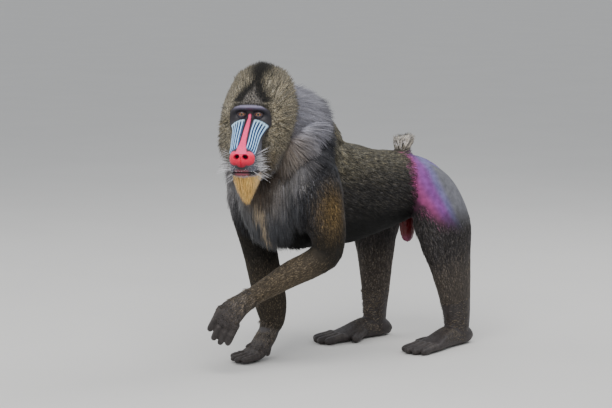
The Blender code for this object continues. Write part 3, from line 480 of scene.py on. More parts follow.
def points_of(obj):
    """Points, normals and triangles of a mesh object, back in the body's own frame."""
    mesh = obj.data
    points = np.empty(len(mesh.vertices) * 3, np.float32)
    mesh.vertices.foreach_get("co", points)
    normals = np.empty_like(points)
    mesh.vertices.foreach_get("normal", normals)
    mesh.calc_loop_triangles()
    corners = np.empty(len(mesh.loop_triangles) * 3, np.int32)
    mesh.loop_triangles.foreach_get("vertices", corners)
    return (points.reshape(-1, 3).astype(float) - SHIFT, normals.reshape(-1, 3).astype(float),
            corners.reshape(-1, 3))


def fused(obj, grain, smoothing):
    """The object's overlapping closed shapes made one surface of small even faces."""
    remesh = obj.modifiers.new("one_surface", "REMESH")
    remesh.mode = "VOXEL"
    remesh.voxel_size = grain
    smooth = obj.modifiers.new("soften", "SMOOTH")
    smooth.factor = 0.5
    smooth.iterations = smoothing
    bpy.context.view_layer.update()
    graph = bpy.context.evaluated_depsgraph_get()
    mesh = bpy.data.meshes.new_from_object(obj.evaluated_get(graph))
    obj.modifiers.clear()
    old, obj.data = obj.data, mesh
    bpy.data.meshes.remove(old)
    mesh.name = obj.name
    mesh.polygons.foreach_set("use_smooth", np.ones(len(mesh.polygons), bool))
    return obj


def finish_piece(obj, material, slot=None, nodes=()):
    """Gives a finished piece its material, parents it to the root body and hides the imported parts
    that it stands for.
    """
    obj.data.materials.clear()
    obj.data.materials.append(material)
    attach(obj, "root")
    if nodes:
        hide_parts(*nodes)
    return obj


# Materials.

def new_material(name, roughness, specular, bump, mottle, colour=None, sheen=0.0, coat=0.0):
    """A mottled finish, of one colour or else of the points' own marks, with fine relief.

    bump and mottle are (size in metres, strength, stretch along Z, or None to read strands);
    bump may be None."""
    material = bpy.data.materials.new(name)
    material.use_nodes = True
    tree = material.node_tree
    nodes, links = tree.nodes, tree.links
    shader = nodes["Principled BSDF"]
    for socket, value in (("Roughness", roughness), ("Specular IOR Level", specular),
                          ("Sheen Weight", sheen), ("Sheen Roughness", 0.5),
                          ("Coat Weight", coat), ("Coat Roughness", 0.12)):
        shader.inputs[socket].default_value = value

    def noise_of(size, stretch):
        if stretch is None:
            reader = nodes.new("ShaderNodeUVMap")
            reader.uv_map = "strands"
            source, scale = reader.outputs["UV"], (1 / size, 1.0, 1.0)
        else:
            source = nodes.new("ShaderNodeTexCoord").outputs["Object"]
            scale = (1 / size, 1 / size, stretch / size)
        place = nodes.new("ShaderNodeMapping")
        place.inputs["Scale"].default_value = scale
        noise = nodes.new("ShaderNodeTexNoise")
        noise.inputs["Scale"].default_value = 1.0
        noise.inputs["Detail"].default_value = 3.0
        links.new(source, place.inputs["Vector"])
        links.new(place.outputs["Vector"], noise.inputs["Vector"])
        return noise.outputs["Fac"]

    if colour is None:
        reader = nodes.new("ShaderNodeAttribute")
        reader.attribute_name = MARKS
        base = reader.outputs["Color"]
    else:
        plain = nodes.new("ShaderNodeRGB")
        plain.outputs[0].default_value = (*colour, 1.0)
        base = plain.outputs[0]
    size, strength, stretch = mottle
    spread = nodes.new("ShaderNodeMapRange")
    for socket, value in (("From Min", 0.3), ("From Max", 0.7), ("To Min", 1.0 - strength),
                          ("To Max", 1.0 + strength)):
        spread.inputs[socket].default_value = value
    links.new(noise_of(size, stretch), spread.inputs["Value"])
    shade = nodes.new("ShaderNodeVectorMath")
    shade.operation = "SCALE"
    links.new(base, shade.inputs[0])
    links.new(spread.outputs["Result"], shade.inputs["Scale"])
    links.new(shade.outputs["Vector"], shader.inputs["Base Color"])
    if bump:
        size, height, stretch = bump
        relief_node = nodes.new("ShaderNodeBump")
        relief_node.inputs["Strength"].default_value = 0.6
        relief_node.inputs["Distance"].default_value = height
        links.new(noise_of(size, stretch), relief_node.inputs["Height"])
        links.new(relief_node.outputs["Normal"], shader.inputs["Normal"])
    return material


# Settings.

def colour_setting(name, description, seen):
    """A colour whose default is given as the eye sees it, 0 to 255."""
    return bpy.props.FloatVectorProperty(name=name, description=description, subtype="COLOR",
                                         size=3, min=0.0, max=1.0, default=linear(*seen))


def length_setting(name, description, default):
    """A length in metres."""
    return bpy.props.FloatProperty(name=name, description=description, default=default,
                                   min=0.0, precision=4, unit="LENGTH")


def count_setting(name, description, default):
    """A whole number of things."""
    return bpy.props.IntProperty(name=name, description=description, default=default, min=1)


class SkinSettings(bpy.types.PropertyGroup):
    """Fineness of the skin's surfaces and the colours of bare skin."""

    body_grain: length_setting("Body grain", "Size of the faces of the body's skin", 0.0046)
    hand_grain: length_setting("Hand grain", "Size of the faces of the hands and feet", 0.00175)
    hand_colour: colour_setting("Hands", "Bare skin of the hands and feet", (52, 47, 46))
    # Painted highlight: paler skin over the upper sides of the knuckles and toe joints
    knuckle_highlight_colour: colour_setting("Knuckles", "Worn skin over the joints", (66, 60, 57))
    nail_colour: colour_setting("Nails", "Nails of the hands and feet", (44, 38, 36))
    groin_colour: colour_setting("Groin", "Bare skin between the hind legs", (84, 2, 8))
    groin_low_colour: colour_setting("Groin, low", "The lower part of that skin", (112, 50, 74))
    ear_colour: colour_setting("Ears", "Bare skin of the ears", (60, 50, 48))


class FaceSettings(bpy.types.PropertyGroup):
    """Colours of the bare face and the eyes."""

    nose: colour_setting("Nose", "Nose pad", (230, 16, 64))
    strip: colour_setting("Nose ridge", "Strip from the brow to the nose pad", (255, 66, 124))
    ridge: colour_setting("Cheek ridges", "Raised bands beside the nose", (92, 170, 255))
    # Ridge tops: paler upper ends of the bands, and the painted highlight along each band's crest
    ridge_top_and_highlight: colour_setting("Ridge tops", "Paler upper ends of the bands", (196, 232, 255))
    # Grooves: the furrows' own deep blue, with painted shade in them
    groove_tint_and_shade: colour_setting("Grooves", "Furrows between the bands", (3, 12, 54))
    brow: colour_setting("Brow", "Bar above the eyes", (118, 112, 134))
    lid: colour_setting("Lid edges", "Edges of the lids", (92, 70, 74))
    dark: colour_setting("Bare dark skin", "Round the eyes and on the muzzle", (38, 34, 38))
    lip: colour_setting("Lips", "Edges of the mouth", (176, 74, 90))
    # Muzzle: its bluish grey is partly a painted reflection of the light on the shiny dark skin
    muzzle: colour_setting("Muzzle", "Skin between the nose pad and the lips", (92, 94, 106))
    chin: colour_setting("Chin", "Skin under the mouth", (168, 140, 142))
    iris: colour_setting("Iris", "Ring of the eye", (150, 100, 56))
    white: colour_setting("Eye white", "Edge of the eyeball", (70, 52, 46))


class CoatSettings(bpy.types.PropertyGroup):
    """Lengths, amounts and colours of the coat."""

    tuft_width: length_setting("Tuft width", "Width of a tuft of the body's coat", 0.0023)
    back_length: length_setting("Back", "Length of the hair on the back", 0.024)
    flank_length: length_setting("Flanks", "Length of the hair on the flanks", 0.026)
    mantle_length: length_setting("Mantle", "Length of the hair of the mantle", 0.057)
    limb_length: length_setting("Limbs", "Length of the hair at the top of a limb", 0.022)
    wrist_length: length_setting("Wrists", "Length of the hair at the wrists and ankles", 0.009)
    rump_length: length_setting("Rump", "Length of the sparse hair on the rump", 0.012)
    crest_length: length_setting("Crest", "Length of the hair of the crest", 0.046)
    cheek_length: length_setting("Cheeks", "Length of the hair of the cheeks", 0.040)
    chest_length: length_setting("Chest", "Length of the hair of the chest", 0.058)
    tail_length: length_setting("Tail", "Length of the hair of the tail's tuft", 0.030)
    beard_length: length_setting("Beard", "Length of the beard", 0.056)
    whisker_length: length_setting("Whiskers", "Length of the white bristles", 0.036)
    hood_tufts: count_setting("Hood tufts", "How many tufts grow on the crown", 17500)
    cheek_tufts: count_setting("Cheek tufts", "How many tufts grow on each cheek", 12000)
    mantle_tufts: count_setting("Mantle tufts", "How many tufts each half of it has", 12500)
    chest_tufts: count_setting("Chest tufts", "How many tufts grow on the chest", 9000)
    back_tufts: count_setting("Back tufts", "How many tufts grow on the back", 13500)
    flank_tufts: count_setting("Flank tufts", "How many tufts grow on the flanks", 13000)
    rump_tufts: count_setting("Rump tufts", "How many tufts grow on the rump", 8800)
    arm_tufts: count_setting("Arm tufts", "How many tufts grow on the arms", 15200)
    leg_tufts: count_setting("Leg tufts", "How many tufts grow on the legs", 11000)
    tail_tufts: count_setting("Tail tufts", "How many tufts grow on the tail", 2400)
    paw_tufts: count_setting("Hand and foot tufts", "How many tufts grow on each", 1700)
    beard_tufts: count_setting("Beard tufts", "How many tufts the beard has", 3500)
    stubble_tufts: count_setting("Stubble", "How many short hairs the muzzle has", 650)
    whisker_count: count_setting("Whisker count", "How many white bristles there are", 170)
    hood: colour_setting("Hood", "Band of the hair on the head", (116, 109, 94))
    crest: colour_setting("Crest", "Dark hair of the crest and forehead", (11, 9, 8))
    forehead: colour_setting("Forehead", "Hair just above the brow", (92, 88, 84))
    mantle: colour_setting("Mantle", "Streaked hair over the shoulders", (130, 129, 138))
    # Painted shade: the mantle is darker low down over the shoulders, away from the light above
    mantle_low_shade: colour_setting("Mantle, low", "The mantle over the shoulders", (110, 108, 109))
    chest: colour_setting("Chest", "Dark hair of the chest", (64, 65, 69))
    elbow: colour_setting("Elbow", "Dark hair round the elbow", (34, 30, 25))
    mantle_rim: colour_setting("Mantle rim", "Its darker rear edge", (30, 30, 35))
    throat: colour_setting("Throat", "Warm hair under the chin", (70, 54, 34))
    bib: colour_setting("Bib", "Pale fringe on the chest", (176, 158, 132))
    back: colour_setting("Back", "Speckled hair of the back", (77, 73, 62))
    # Flank and belly: partly the flanks' own dark hair, partly painted shade low on the body; the
    # near-black belly is painted shade
    flank: colour_setting("Flank", "Dark hair of the flanks", (40, 38, 37))
    belly: colour_setting("Belly", "Hair under the belly", (9, 9, 9))
    shoulder: colour_setting("Shoulder", "Front of the upper arm", (40, 41, 46))
    gold: colour_setting("Arm patch", "Golden patch behind the shoulder", (90, 73, 45))
    forearm: colour_setting("Forearm", "Hair of the forearms", (84, 74, 60))
    wrist: colour_setting("Wrist", "Hair at the wrists", (88, 80, 71))
    thigh: colour_setting("Thigh", "Hair of the thighs", (53, 50, 50))
    shin: colour_setting("Shin", "Hair of the shins", (80, 73, 67))
    tail: colour_setting("Tail", "Hair of the tail's tuft", (206, 199, 192))
    beard: colour_setting("Beard", "Golden beard", (236, 172, 62))
    beard_tip: colour_setting("Beard tips", "Pale tips of the beard", (240, 198, 124))
    whisker: colour_setting("Whiskers", "White bristles round the mouth", (226, 224, 226))


class RumpSettings(bpy.types.PropertyGroup):
    """Colours of the rump, from its front edge to the rear."""

    pink: colour_setting("Pink", "Front edge of the rump's colours", (146, 66, 114))
    purple: colour_setting("Purple", "Middle of the rump's colours", (122, 68, 134))
    lilac: colour_setting("Lilac", "Rear of the rump's colours", (104, 98, 140))
    fringe: colour_setting("Fringe", "Pale hair round the rump", (98, 98, 104))
    red: colour_setting("Red", "Skin round the tail's root", (150, 48, 72))
    seat: colour_setting("Seat", "Horny pads of the seat", (176, 134, 138))


class StageSettings(bpy.types.PropertyGroup):
    """Floor, lights and camera."""

    azimuth: bpy.props.FloatProperty(name="Azimuth", description="Camera's turn round the animal",
                                     default=math.radians(50.0), subtype="ANGLE", unit="ROTATION")
    elevation: bpy.props.FloatProperty(name="Elevation", description="Camera's rise",
                                       default=math.radians(8.0), subtype="ANGLE",
                                       unit="ROTATION")
    distance: length_setting("Distance", "From the camera to the animal's middle", 4.6)
    target_height: length_setting("Target height", "Height that the camera looks at", 0.3716)
    view_width: length_setting("View width", "Width of the picture at the animal", 612 / 424)
    floor_colour: colour_setting("Floor", "The plain floor", (214, 212, 208))
    world_colour: colour_setting("Surroundings", "Soft light from all round", (236, 240, 246))


# Body: skin.

def tube_rings(rows, around, per_row, power=2.0, wide=(1.0, 0.0, 0.0), inset=(0.0, 0.0)):
    """Superellipse sections carried along rows of x, y, z, half width and half depth.

    Each section is square to the path; inset draws it in by a depth that runs evenly from
    the first row to the last."""
    fine = row_at(rows, np.arange((len(rows) - 1) * per_row + 1) / per_row)
    centre = fine[:, :3]
    along = unit(np.gradient(centre, axis=0))
    wide = unit(wide)
    side = unit(wide - along * (along @ wide)[:, None])
    depth = np.cross(side, along)
    turn = turns(around)
    s, d = power_wave(np.cos(turn), power), power_wave(np.sin(turn), power)
    drawn = np.linspace(inset[0], inset[1], len(fine))[:, None]
    return (centre[:, None] + side[:, None] * ((fine[:, 3:4] - drawn) * s)[..., None]
            + depth[:, None] * ((fine[:, 4:5] - drawn) * d)[..., None])


def rounded_tube(rings, start=0.6, end=0.6):
    """A closed tube whose ends are domes: two shrinking rings, then a pole."""
    out = []
    for ring, inner, bulge in ((rings[0], rings[1], start), (rings[-1], rings[-2], end)):
        middle = ring.mean(axis=0)
        radius = np.linalg.norm(ring - middle, axis=1).mean()
        way = unit(middle - inner.mean(axis=0)) * radius * bulge
        out.append((middle + (ring - middle) * 0.8 + way * 0.6,
                    middle + (ring - middle) * 0.45 + way * 0.9, middle + way))
    full = np.concatenate([[out[0][1], out[0][0]], rings, [out[1][0], out[1][1]]])
    return closed_rings(full, out[0][2], out[1][2])


def ball(centre, radii, around=24, rows=14, place=None):
    """An ellipsoid: centre + radii * (sin a cos b, sin a sin b, -cos a)."""
    tilt = (np.arange(1, rows) * math.pi / rows)[:, None]
    turn = turns(around)[None, :]
    c, r = np.asarray(centre, float), np.asarray(radii, float)
    rings = c + r * np.stack([np.sin(tilt) * np.cos(turn), np.sin(tilt) * np.sin(turn),
                              -np.cos(tilt) + 0 * turn], axis=-1)
    low, high = c - (0, 0, r[2]), c + (0, 0, r[2])
    if place:
        rings, low, high = place(rings), place(low), place(high)
    return closed_rings(rings, low, high)


def body_forms():
    """Closed forms of the trunk, neck, limbs and tail, drawn in by the coat's depth."""
    made = []
    for name, (rows, first, last) in BONES.items():
        power = TRUNK_SQUARENESS if name == "trunk" else 2.0
        rings = tube_rings(rows, 40, 6, power, inset=(first, last))
        made.append(rounded_tube(rings, 0.5, 0.35 if name == "trunk" else 0.6))
    return made + [ball((side * x, y, z), radii)
                   for side, _ in SIDES for (x, y, z), radii in SWELLINGS]


@lru_cache(maxsize=None)
def bone_samples():
    """Points along every bone, with its direction, mean radius, place and number."""
    parts = []
    for number, name in enumerate(BONE_NAMES):
        rows = BONES[name][0]
        at = np.linspace(0, len(rows) - 1, 40)
        fine = row_at(rows, at)
        along = unit(np.gradient(fine[:, :3], axis=0))
        radius = (fine[:, 3:4] + fine[:, 4:5]) / 2
        parts.append(np.hstack([fine[:, :3], along, radius, at[:, None] / (len(rows) - 1),
                                np.full((40, 1), number)]))
    return np.vstack(parts)


def near_bones(points):
    """For each point and bone: a share that fades with distance, direction, place along."""
    samples = bone_samples()
    count, bones = len(points), len(BONE_NAMES)
    share, way = np.empty((count, bones)), np.empty((count, bones, 3))
    place, foot = np.empty((count, bones)), np.empty((count, bones, 3))
    for number in range(bones):
        own = samples[samples[:, 8] == number]
        apart = np.linalg.norm(points[:, None] - own[None, :, :3], axis=-1) / own[None, :, 6]
        best = apart.argmin(axis=1)
        share[:, number] = np.take_along_axis(apart, best[:, None], 1)[:, 0] ** -BONE_FADING
        way[:, number], place[:, number] = own[best, 3:6], own[best, 7]
        foot[:, number] = own[best, :3]
    return share / share.sum(axis=1, keepdims=True), way, place, foot


def lie_of_coat(points, normals, bones):
    """Direction in which the hair lies: along the nearest bones, down on flanks and chest."""
    share, way, _, _ = bones
    way = way.copy()
    trunk, neck = bone("trunk"), bone("neck")
    flank = np.abs(normals[:, 0])
    front = rise(points[:, 1], -0.05, -0.125)
    way[:, trunk] = (0, 1, 0)
    way[:, trunk, 2] -= 0.45 * flank + 1.3 * front
    way[:, trunk, 1] -= 0.7 * front
    rear = rise(points[:, 1], 0.33, 0.40)
    way[:, trunk, 2] -= 1.2 * rear
    way[:, neck] = -way[:, neck]
    under = rise(normals[:, 2], 0.1, -0.6)
    way[:, neck, 2] -= 0.80 * flank + 0.9 * under
    flow = (share[..., None] * way).sum(axis=1)
    back = mantle_share(points) * rise(normals[:, 1], -0.95, -0.50)
    back = back * rise(points[:, 2], 0.40, 0.52)
    flow = flow + np.array((0.0, 1.5, -0.15)) * back[:, None]
    flow[:, 2] -= 0.75 * flank * back
    flow -= normals * (flow * normals).sum(axis=1, keepdims=True)
    return unit(flow)


def mantle_edge(height):
    """How far back the mantle reaches at a height."""
    return along_line(MANTLE_EDGE, height)


def mantle_share(points, ahead=0.0):
    """1 inside the mantle, 0 behind its rear edge; ahead draws that edge forward."""
    y, z = points[:, 1], points[:, 2]
    edge = mantle_edge(z) - ahead
    return rise(y, edge + 0.006, edge - 0.014) * rise(z, 0.33, 0.41)


def limb_values(bones, kind):
    """Share of both limbs of a kind, and the place along the nearer one."""
    share, _, place, _ = bones
    left, right = bone(kind + "_left"), bone(kind + "_right")
    nearer = np.where(share[:, left] > share[:, right], place[:, left], place[:, right])
    return share[:, left] + share[:, right], nearer


def body_marks(points, bones, coat, rump):
    """Colour of skin and coat at points of the body, from settings and place, with painted shade low on
    the body and on the arms.
    """
    x, y, z = points.T
    drift = waves(points, 0.11, 3)
    height = z + 0.010 * drift
    # Darker down the sides: partly the flanks' own dark hair, partly painted shade below the lit back,
    # and near-black painted shade under the belly
    low = mixed(coat.flank, coat.belly, rise(height, 0.40, 0.32))
    colour = mixed(coat.back, low, rise(height, 0.490, 0.405))

    arms, arm_place = limb_values(bones, "arm")
    arm_place = arm_place + 0.02 * drift
    arm = graded(coat, "shoulder", ARM_BANDS, arm_place)
    # Painted shade on the inner sides of the arms, next to the trunk
    inner = rise(np.abs(x), 0.10, 0.07) * rise(z, 0.20, 0.26)
    arm = mixed(arm, coat.belly, 0.6 * inner)
    # Painted shade on the lower right arm, on the side away from the key light
    far_arm_shade = rise(x, 0.0, -0.05) * rise(z, 0.30, 0.24)
    arm = mixed(arm, coat.elbow, 0.7 * far_arm_shade)
    colour = mixed(colour, arm, rise(arms, 0.35, 0.65))
    for spot in GOLD_PATCHES:
        away = (points - spot) / GOLD_RADII
        gold = np.exp(-((away ** 2).sum(axis=1)) ** 1.3)
        colour = mixed(colour, coat.gold, GOLD_SHARE * gold)

    legs, leg_place = limb_values(bones, "leg")
    leg = graded(coat, "thigh", LEG_BANDS, leg_place)
    colour = mixed(colour, leg, rise(legs, 0.3, 0.7) * rise(z, 0.38, 0.32))

    front = rise(y, -0.075, -0.105) * rise(arms, 0.75, 0.5)
    colour = mixed(colour, coat.chest, front)
    wide = np.interp(z, RIM_HEIGHTS, RIM_WIDTHS)
    rim = rise(y - mantle_edge(z), -wide - 0.028, 0.022 - wide)
    # The mantle darkens downwards as painted shade
    cape = mixed(coat.mantle, coat.mantle_low_shade, rise(z, 0.56, 0.42))
    cape = mixed(cape, coat.mantle_rim, rim)
    colour = mixed(colour, cape, mantle_share(points))
    for spot, size, tint, share in MANTLE_SPOTS:
        away = np.linalg.norm(points - np.column_stack(
            [np.sign(x) * spot[0], 0 * x + spot[1], 0 * x + spot[2]]), axis=1)
        colour = mixed(colour, getattr(coat, tint), share * np.exp(-(away / size) ** 2))
    throat = bell(x, 0.030, 0.035) * rise(y, -0.10, -0.13) * rise(z, 0.36, 0.41)
    colour = mixed(colour, coat.throat, 0.8 * throat * rise(z, 0.52, 0.47))
    middle = np.interp(z, FRINGE_HEIGHTS, FRINGE_LEFT)
    fringe = bell(x, middle, FRINGE_WIDTH) * rise(y, -0.10, -0.125)
    colour = mixed(colour, coat.bib, fringe * rise(z, 0.41, 0.38))
    colour = mixed(colour, rump_marks(points, rump), rump_share(points))
    tail = bones[0][:, bone("tail")] * rise(z, 0.482, 0.492)
    return mixed(colour, mixed(coat.flank, coat.tail, rise(y, 0.290, 0.304)), tail)


def rump_band(points):
    """How far back of the front edge of the rump's colours each point is."""
    return points[:, 1] - along_line(RUMP_EDGE, points[:, 2])


def rump_share(points):
    """1 on the coloured part of the rump, 0 elsewhere, with soft edges."""
    band = rump_band(points) + 0.004 * waves(points, 0.03, 9)
    top = 1 - rise(points[:, 2], 0.462, 0.478) * rise(points[:, 1], 0.365, 0.345)
    return rise(band, -0.006, 0.026) * rise(points[:, 2], 0.285, 0.360) * top


def seat_away(points, radii):
    """Square of the distance from the nearer horny pad of the seat, in radii."""
    return ((np.abs(points[:, 0]) - SEAT_AT[0]) ** 2 / radii[0] ** 2
            + (points[:, 2] - SEAT_AT[1]) ** 2 / radii[1] ** 2)


def rump_marks(points, rump):
    """Pink, purple, lilac and a pale fringe from front to rear, and red round the tail."""
    x, y, z = points.T
    band = rump_band(points)
    colour = graded(rump, "pink", RUMP_BANDS, band)
    side = rise(np.abs(x), 0.060, 0.090)
    colour = mixed(colour, rump.fringe, rise(band, 0.056, 0.080) * side)
    rear = rise(y, 0.365, 0.400) * rise(np.abs(x), 0.100, 0.060) * rise(z, 0.33, 0.36)
    colour = mixed(colour, rump.lilac, 0.9 * rear)
    middle = rise(np.abs(x), 0.055, 0.030)
    colour = mixed(colour, rump.red, middle * rise(y, 0.305, 0.335) * rise(z, 0.455, 0.425))
    seat = rise(seat_away(points, (0.022, 0.030)), 1.25, 0.85)
    return mixed(colour, rump.seat, seat * rise(y, 0.382, 0.397))


def make_body_skin(settings):
    """One skin over the trunk, neck, limbs and tail, with the coat's markings darkened as painted shade
    under the coat.
    """
    scene = bpy.context.scene
    obj = make_mesh("body_skin", *joined(body_forms()))
    fused(obj, settings.body_grain, 10)
    points = points_of(obj)[0]
    marks = body_marks(points, near_bones(points), scene.mandrill_coat, scene.mandrill_rump)
    # Painted shade: the skin under the coat is darkened, but not on the sparsely haired rump
    marks = marks * (0.55 + 0.45 * rump_share(points))[:, None]
    set_colours(obj, marks)
    finish = new_material("body_skin_finish", 0.75, 0.2, (0.0030, 0.0010, 0.4),
                          (0.012, 0.22, 1.0), sheen=0.04)
    nodes = ["neck", "chest", "belly", "rump"]
    for side in ("left", "right"):
        nodes += ["upper_arm_" + side, "forearm_" + side, "thigh_" + side, "shin_" + side]
    finish_piece(obj, finish, "coat", nodes)


# Hands and feet.

def digit_forms(line, radius, wide):
    """A finger or toe: a tube through its joints, swollen at each, with a domed tip."""
    size = radius * np.array(DIGIT_SIZES)
    rows = np.column_stack([line, size, size * 0.94])
    return rounded_tube(tube_rings(rows, 16, 5, wide=wide), 0.4, 0.95)


def nail(tip, before, up, radius):
    """A narrow curved nail on the last joint: a flattened ellipsoid, tilted along it."""
    ahead = unit(tip - before)
    up = unit(up - ahead * (up @ ahead))
    side = np.cross(ahead, up)

    def place(p):
        return (tip + up * radius * 0.62 - ahead * radius * 0.15 + side * p[..., 0:1]
                + ahead * p[..., 1:2] + up * (p[..., 2:3] - p[..., 0:1] ** 2 / radius * 0.9))
    return ball((0, 0, 0), (radius * 0.58, radius * 0.72, radius * 0.22), 14, 8, place)


def hand_forms(palm, wide, bend):
    """Closed forms of a hand, its nails, and the points over its knuckles."""
    wide = unit(wide)
    made = [rounded_tube(tube_rings(palm, 28, 6, 2.4, wide), 0.4, 0.6)]
    palm = np.asarray(palm)
    tip, before = palm[-1, :3], palm[-3, :3]
    ahead = unit(tip - before)
    down = unit(np.cross(ahead, wide))
    down = down if down[2] < 0 else -down
    nails, knuckles = [], []
    for place, length in FINGERS:
        point = tip - ahead * 0.018 + wide * place * FINGER_SPREAD
        line, way = [point], ahead + wide * (bend[4] + place * 0.05)
        for share, turn in zip(BONE_SHARES, bend):
            way = unit(way * math.cos(turn) + down * math.sin(turn))
            point = point + way * length * share * 1.25
            line.append(point)
        made.append(digit_forms(np.array(line), FINGER_RADIUS, wide))
        nails.append(nail(line[-1], line[-2], -down, FINGER_RADIUS))
        knuckles += line[1:4]
        for joint, lifted, radius in FINGER_KNUCKLES:
            made.append(ball(line[joint] - down * lifted, (radius,) * 3, 14, 8))
        tendon = np.array([tip - ahead * 0.050 + wide * place * 0.016, line[0]])
        tendon = np.vstack([tendon[0], tendon.mean(axis=0), tendon[1]]) - down * 0.0095
        rows = np.column_stack([tendon, (0.003, 0.0042, 0.005), (0.003, 0.004, 0.005)])
        made.append(rounded_tube(tube_rings(rows, 10, 4, wide=wide)))
    base = palm[2, :3] - wide * 0.020
    thumb = np.array([base + (ahead * k * 0.85 - wide * 0.16 * k + down * 0.45 * k)
                      * THUMB_LENGTH * 1.3 for k in (0.0, 0.25, 0.5, 0.75, 1.0)])
    made.append(digit_forms(thumb, FINGER_RADIUS * 0.9, wide))
    nails.append(nail(thumb[-1], thumb[-2], -down, FINGER_RADIUS * 0.9))
    return made, nails, np.array(knuckles)


def foot_ahead(turn):
    """Direction in which a foot points that is turned out by an angle."""
    return np.array((math.sin(turn), -math.cos(turn), 0.0))


def foot_forms(leg, foot, inner):
    """Closed forms of a foot, its nails, and the points over its joints."""
    x, y, turn = foot
    ahead = foot_ahead(turn)
    wide = np.array([math.cos(turn), math.sin(turn), 0.0])
    up = np.array([0.0, 0.0, 1.0])
    ankle = np.array([x, y, 0.0])
    rows = [(*(ankle + ahead * a + up * (top / 2 - 0.0005)), half, top / 2)
            for a, half, top in SOLE_ROWS]
    made = [rounded_tube(tube_rings(rows, 28, 6, FOOT_SQUARENESS, wide), 0.4, 0.4)]
    made.append(rounded_tube(tube_rings(leg[-4:], 28, 6, inset=(0.0035, 0.002)), 0.3, 0.3))
    nails, joints = [], []
    for place, length in TOES:
        side = wide * -inner * place
        base = ankle + ahead * 0.100 + side * 0.031 + up * 0.0112
        way = ahead + side * 0.12
        line = np.array([base + way * length * k + up * lift for k, lift in TOE_LINE])
        made.append(digit_forms(line, TOE_RADIUS, wide))
        made.append(ball(line[1] + up * 0.001, (0.0108,) * 3, 14, 8))
        nails.append(nail(line[-1], line[-2], up, TOE_RADIUS))
        joints += [line[1], line[2]]
    base = ankle + ahead * 0.036 + wide * inner * 0.010 + up * 0.017
    way = unit(ahead * 0.82 + wide * inner * 0.57)
    line = np.array([base + way * BIG_TOE_LENGTH * k + up * lift for k, lift in BIG_TOE_LINE])
    made.append(digit_forms(line, TOE_RADIUS * 1.1, wide))
    nails.append(nail(line[-1], line[-2], up, TOE_RADIUS * 1.1))
    return made, nails, np.array(joints)


def make_extremity(name, forms, joints, settings, finish):
    """One hand or foot as a single skin, with a painted highlight over its upward-facing joints, and
    flat on the floor.
    """
    obj = make_mesh(name, *joined(forms))
    fused(obj, settings.hand_grain, 4)
    points, normals, _ = points_of(obj)
    points[:, 2] = np.maximum(points[:, 2], 0.0)
    place_points(obj.data, points)
    apart = np.linalg.norm(points[:, None] - joints[None], axis=-1).min(axis=1)
    # Painted highlight over the joints, strongest where the skin faces up
    joint_highlight = bell(apart, 0.0095, 0.0045) * rise(normals[:, 2], -0.1, 0.5)
    marks = mixed(settings.hand_colour, settings.knuckle_highlight_colour, 0.8 * joint_highlight)
    set_colours(obj, marks * (1 + 0.18 * waves(points, 0.012, 5))[:, None])
    finish_piece(obj, finish, "dark_skin", [name.replace("_skin", "")])


def make_hands_and_feet(settings):
    """Both hands and both feet, and all their nails as one piece."""
    finish = new_material("hand_finish", 0.52, 0.35, (0.0016, 0.0009, 1.0), (0.004, 0.18, 1.0))
    all_nails = []
    for kind, shaped, rows in (("hand_", hand_forms, HANDS), ("foot_", foot_forms, FEET)):
        for side, *form in rows:
            forms, nails, joints = shaped(*form)
            make_extremity(kind + side + "_skin", forms, joints, settings, finish)
            all_nails += nails
    points, faces = joined(all_nails)
    points[:, 2] = np.maximum(points[:, 2], 0.0006)
    horn = new_material("nail_finish", 0.32, 0.5, (0.0008, 0.0002, 1.0), (0.003, 0.2, 1.0),
                        settings.nail_colour)
    finish_piece(make_mesh("nails", points, faces), horn, "dark_skin")


def make_groin(settings):
    """Bare bright skin between the hind legs: an ellipsoid with a shallow cleft."""
    centre, radii = np.array((0.016, 0.312, 0.293)), (0.0155, 0.0215, 0.0430)
    points, faces = ball(centre, radii, 64, 40)
    x, _, z = (points - centre).T
    cleft = bell(x, 0.0, 0.0035) * rise(z, 0.02, -0.01)
    points = points - unit(points - centre) * (0.0022 * cleft)[:, None]
    points = points + unit(points - centre) * (0.0006 * waves(points, 0.006, 8))[:, None]
    obj = make_mesh("groin_skin", points, faces)
    low = rise(points[:, 2], 0.278, 0.258)
    set_colours(obj, mixed(settings.groin_colour, settings.groin_low_colour, low))
    finish = new_material("groin_finish", 0.42, 0.4, (0.0016, 0.0006, 1.0), (0.005, 0.15, 1.0))
    finish_piece(obj, finish, "groin_skin", ["groin"])


# Head.

TURN_SIN, TURN_COS = math.sin(HEAD_TURN), math.cos(HEAD_TURN)


def head_turned(v):
    """Vectors (left, forward, up) of the head as vectors of the body."""
    v = np.asarray(v, float)
    left, forward, up = v[..., 0], v[..., 1], v[..., 2]
    return np.stack([left * TURN_COS + forward * TURN_SIN,
                     left * TURN_SIN - forward * TURN_COS, up], axis=-1)


def head_place(points):
    """Head centimetres (left, forward, up) as metres in the body's frame."""
    return head_turned(np.asarray(points, float) * CM) + EYES_AT


def head_back(points):
    """Metres in the body's frame as head centimetres."""
    p = (np.asarray(points, float) - EYES_AT) / CM
    return np.stack([p[..., 0] * TURN_COS + p[..., 1] * TURN_SIN,
                     p[..., 0] * TURN_SIN - p[..., 1] * TURN_COS, p[..., 2]], axis=-1)


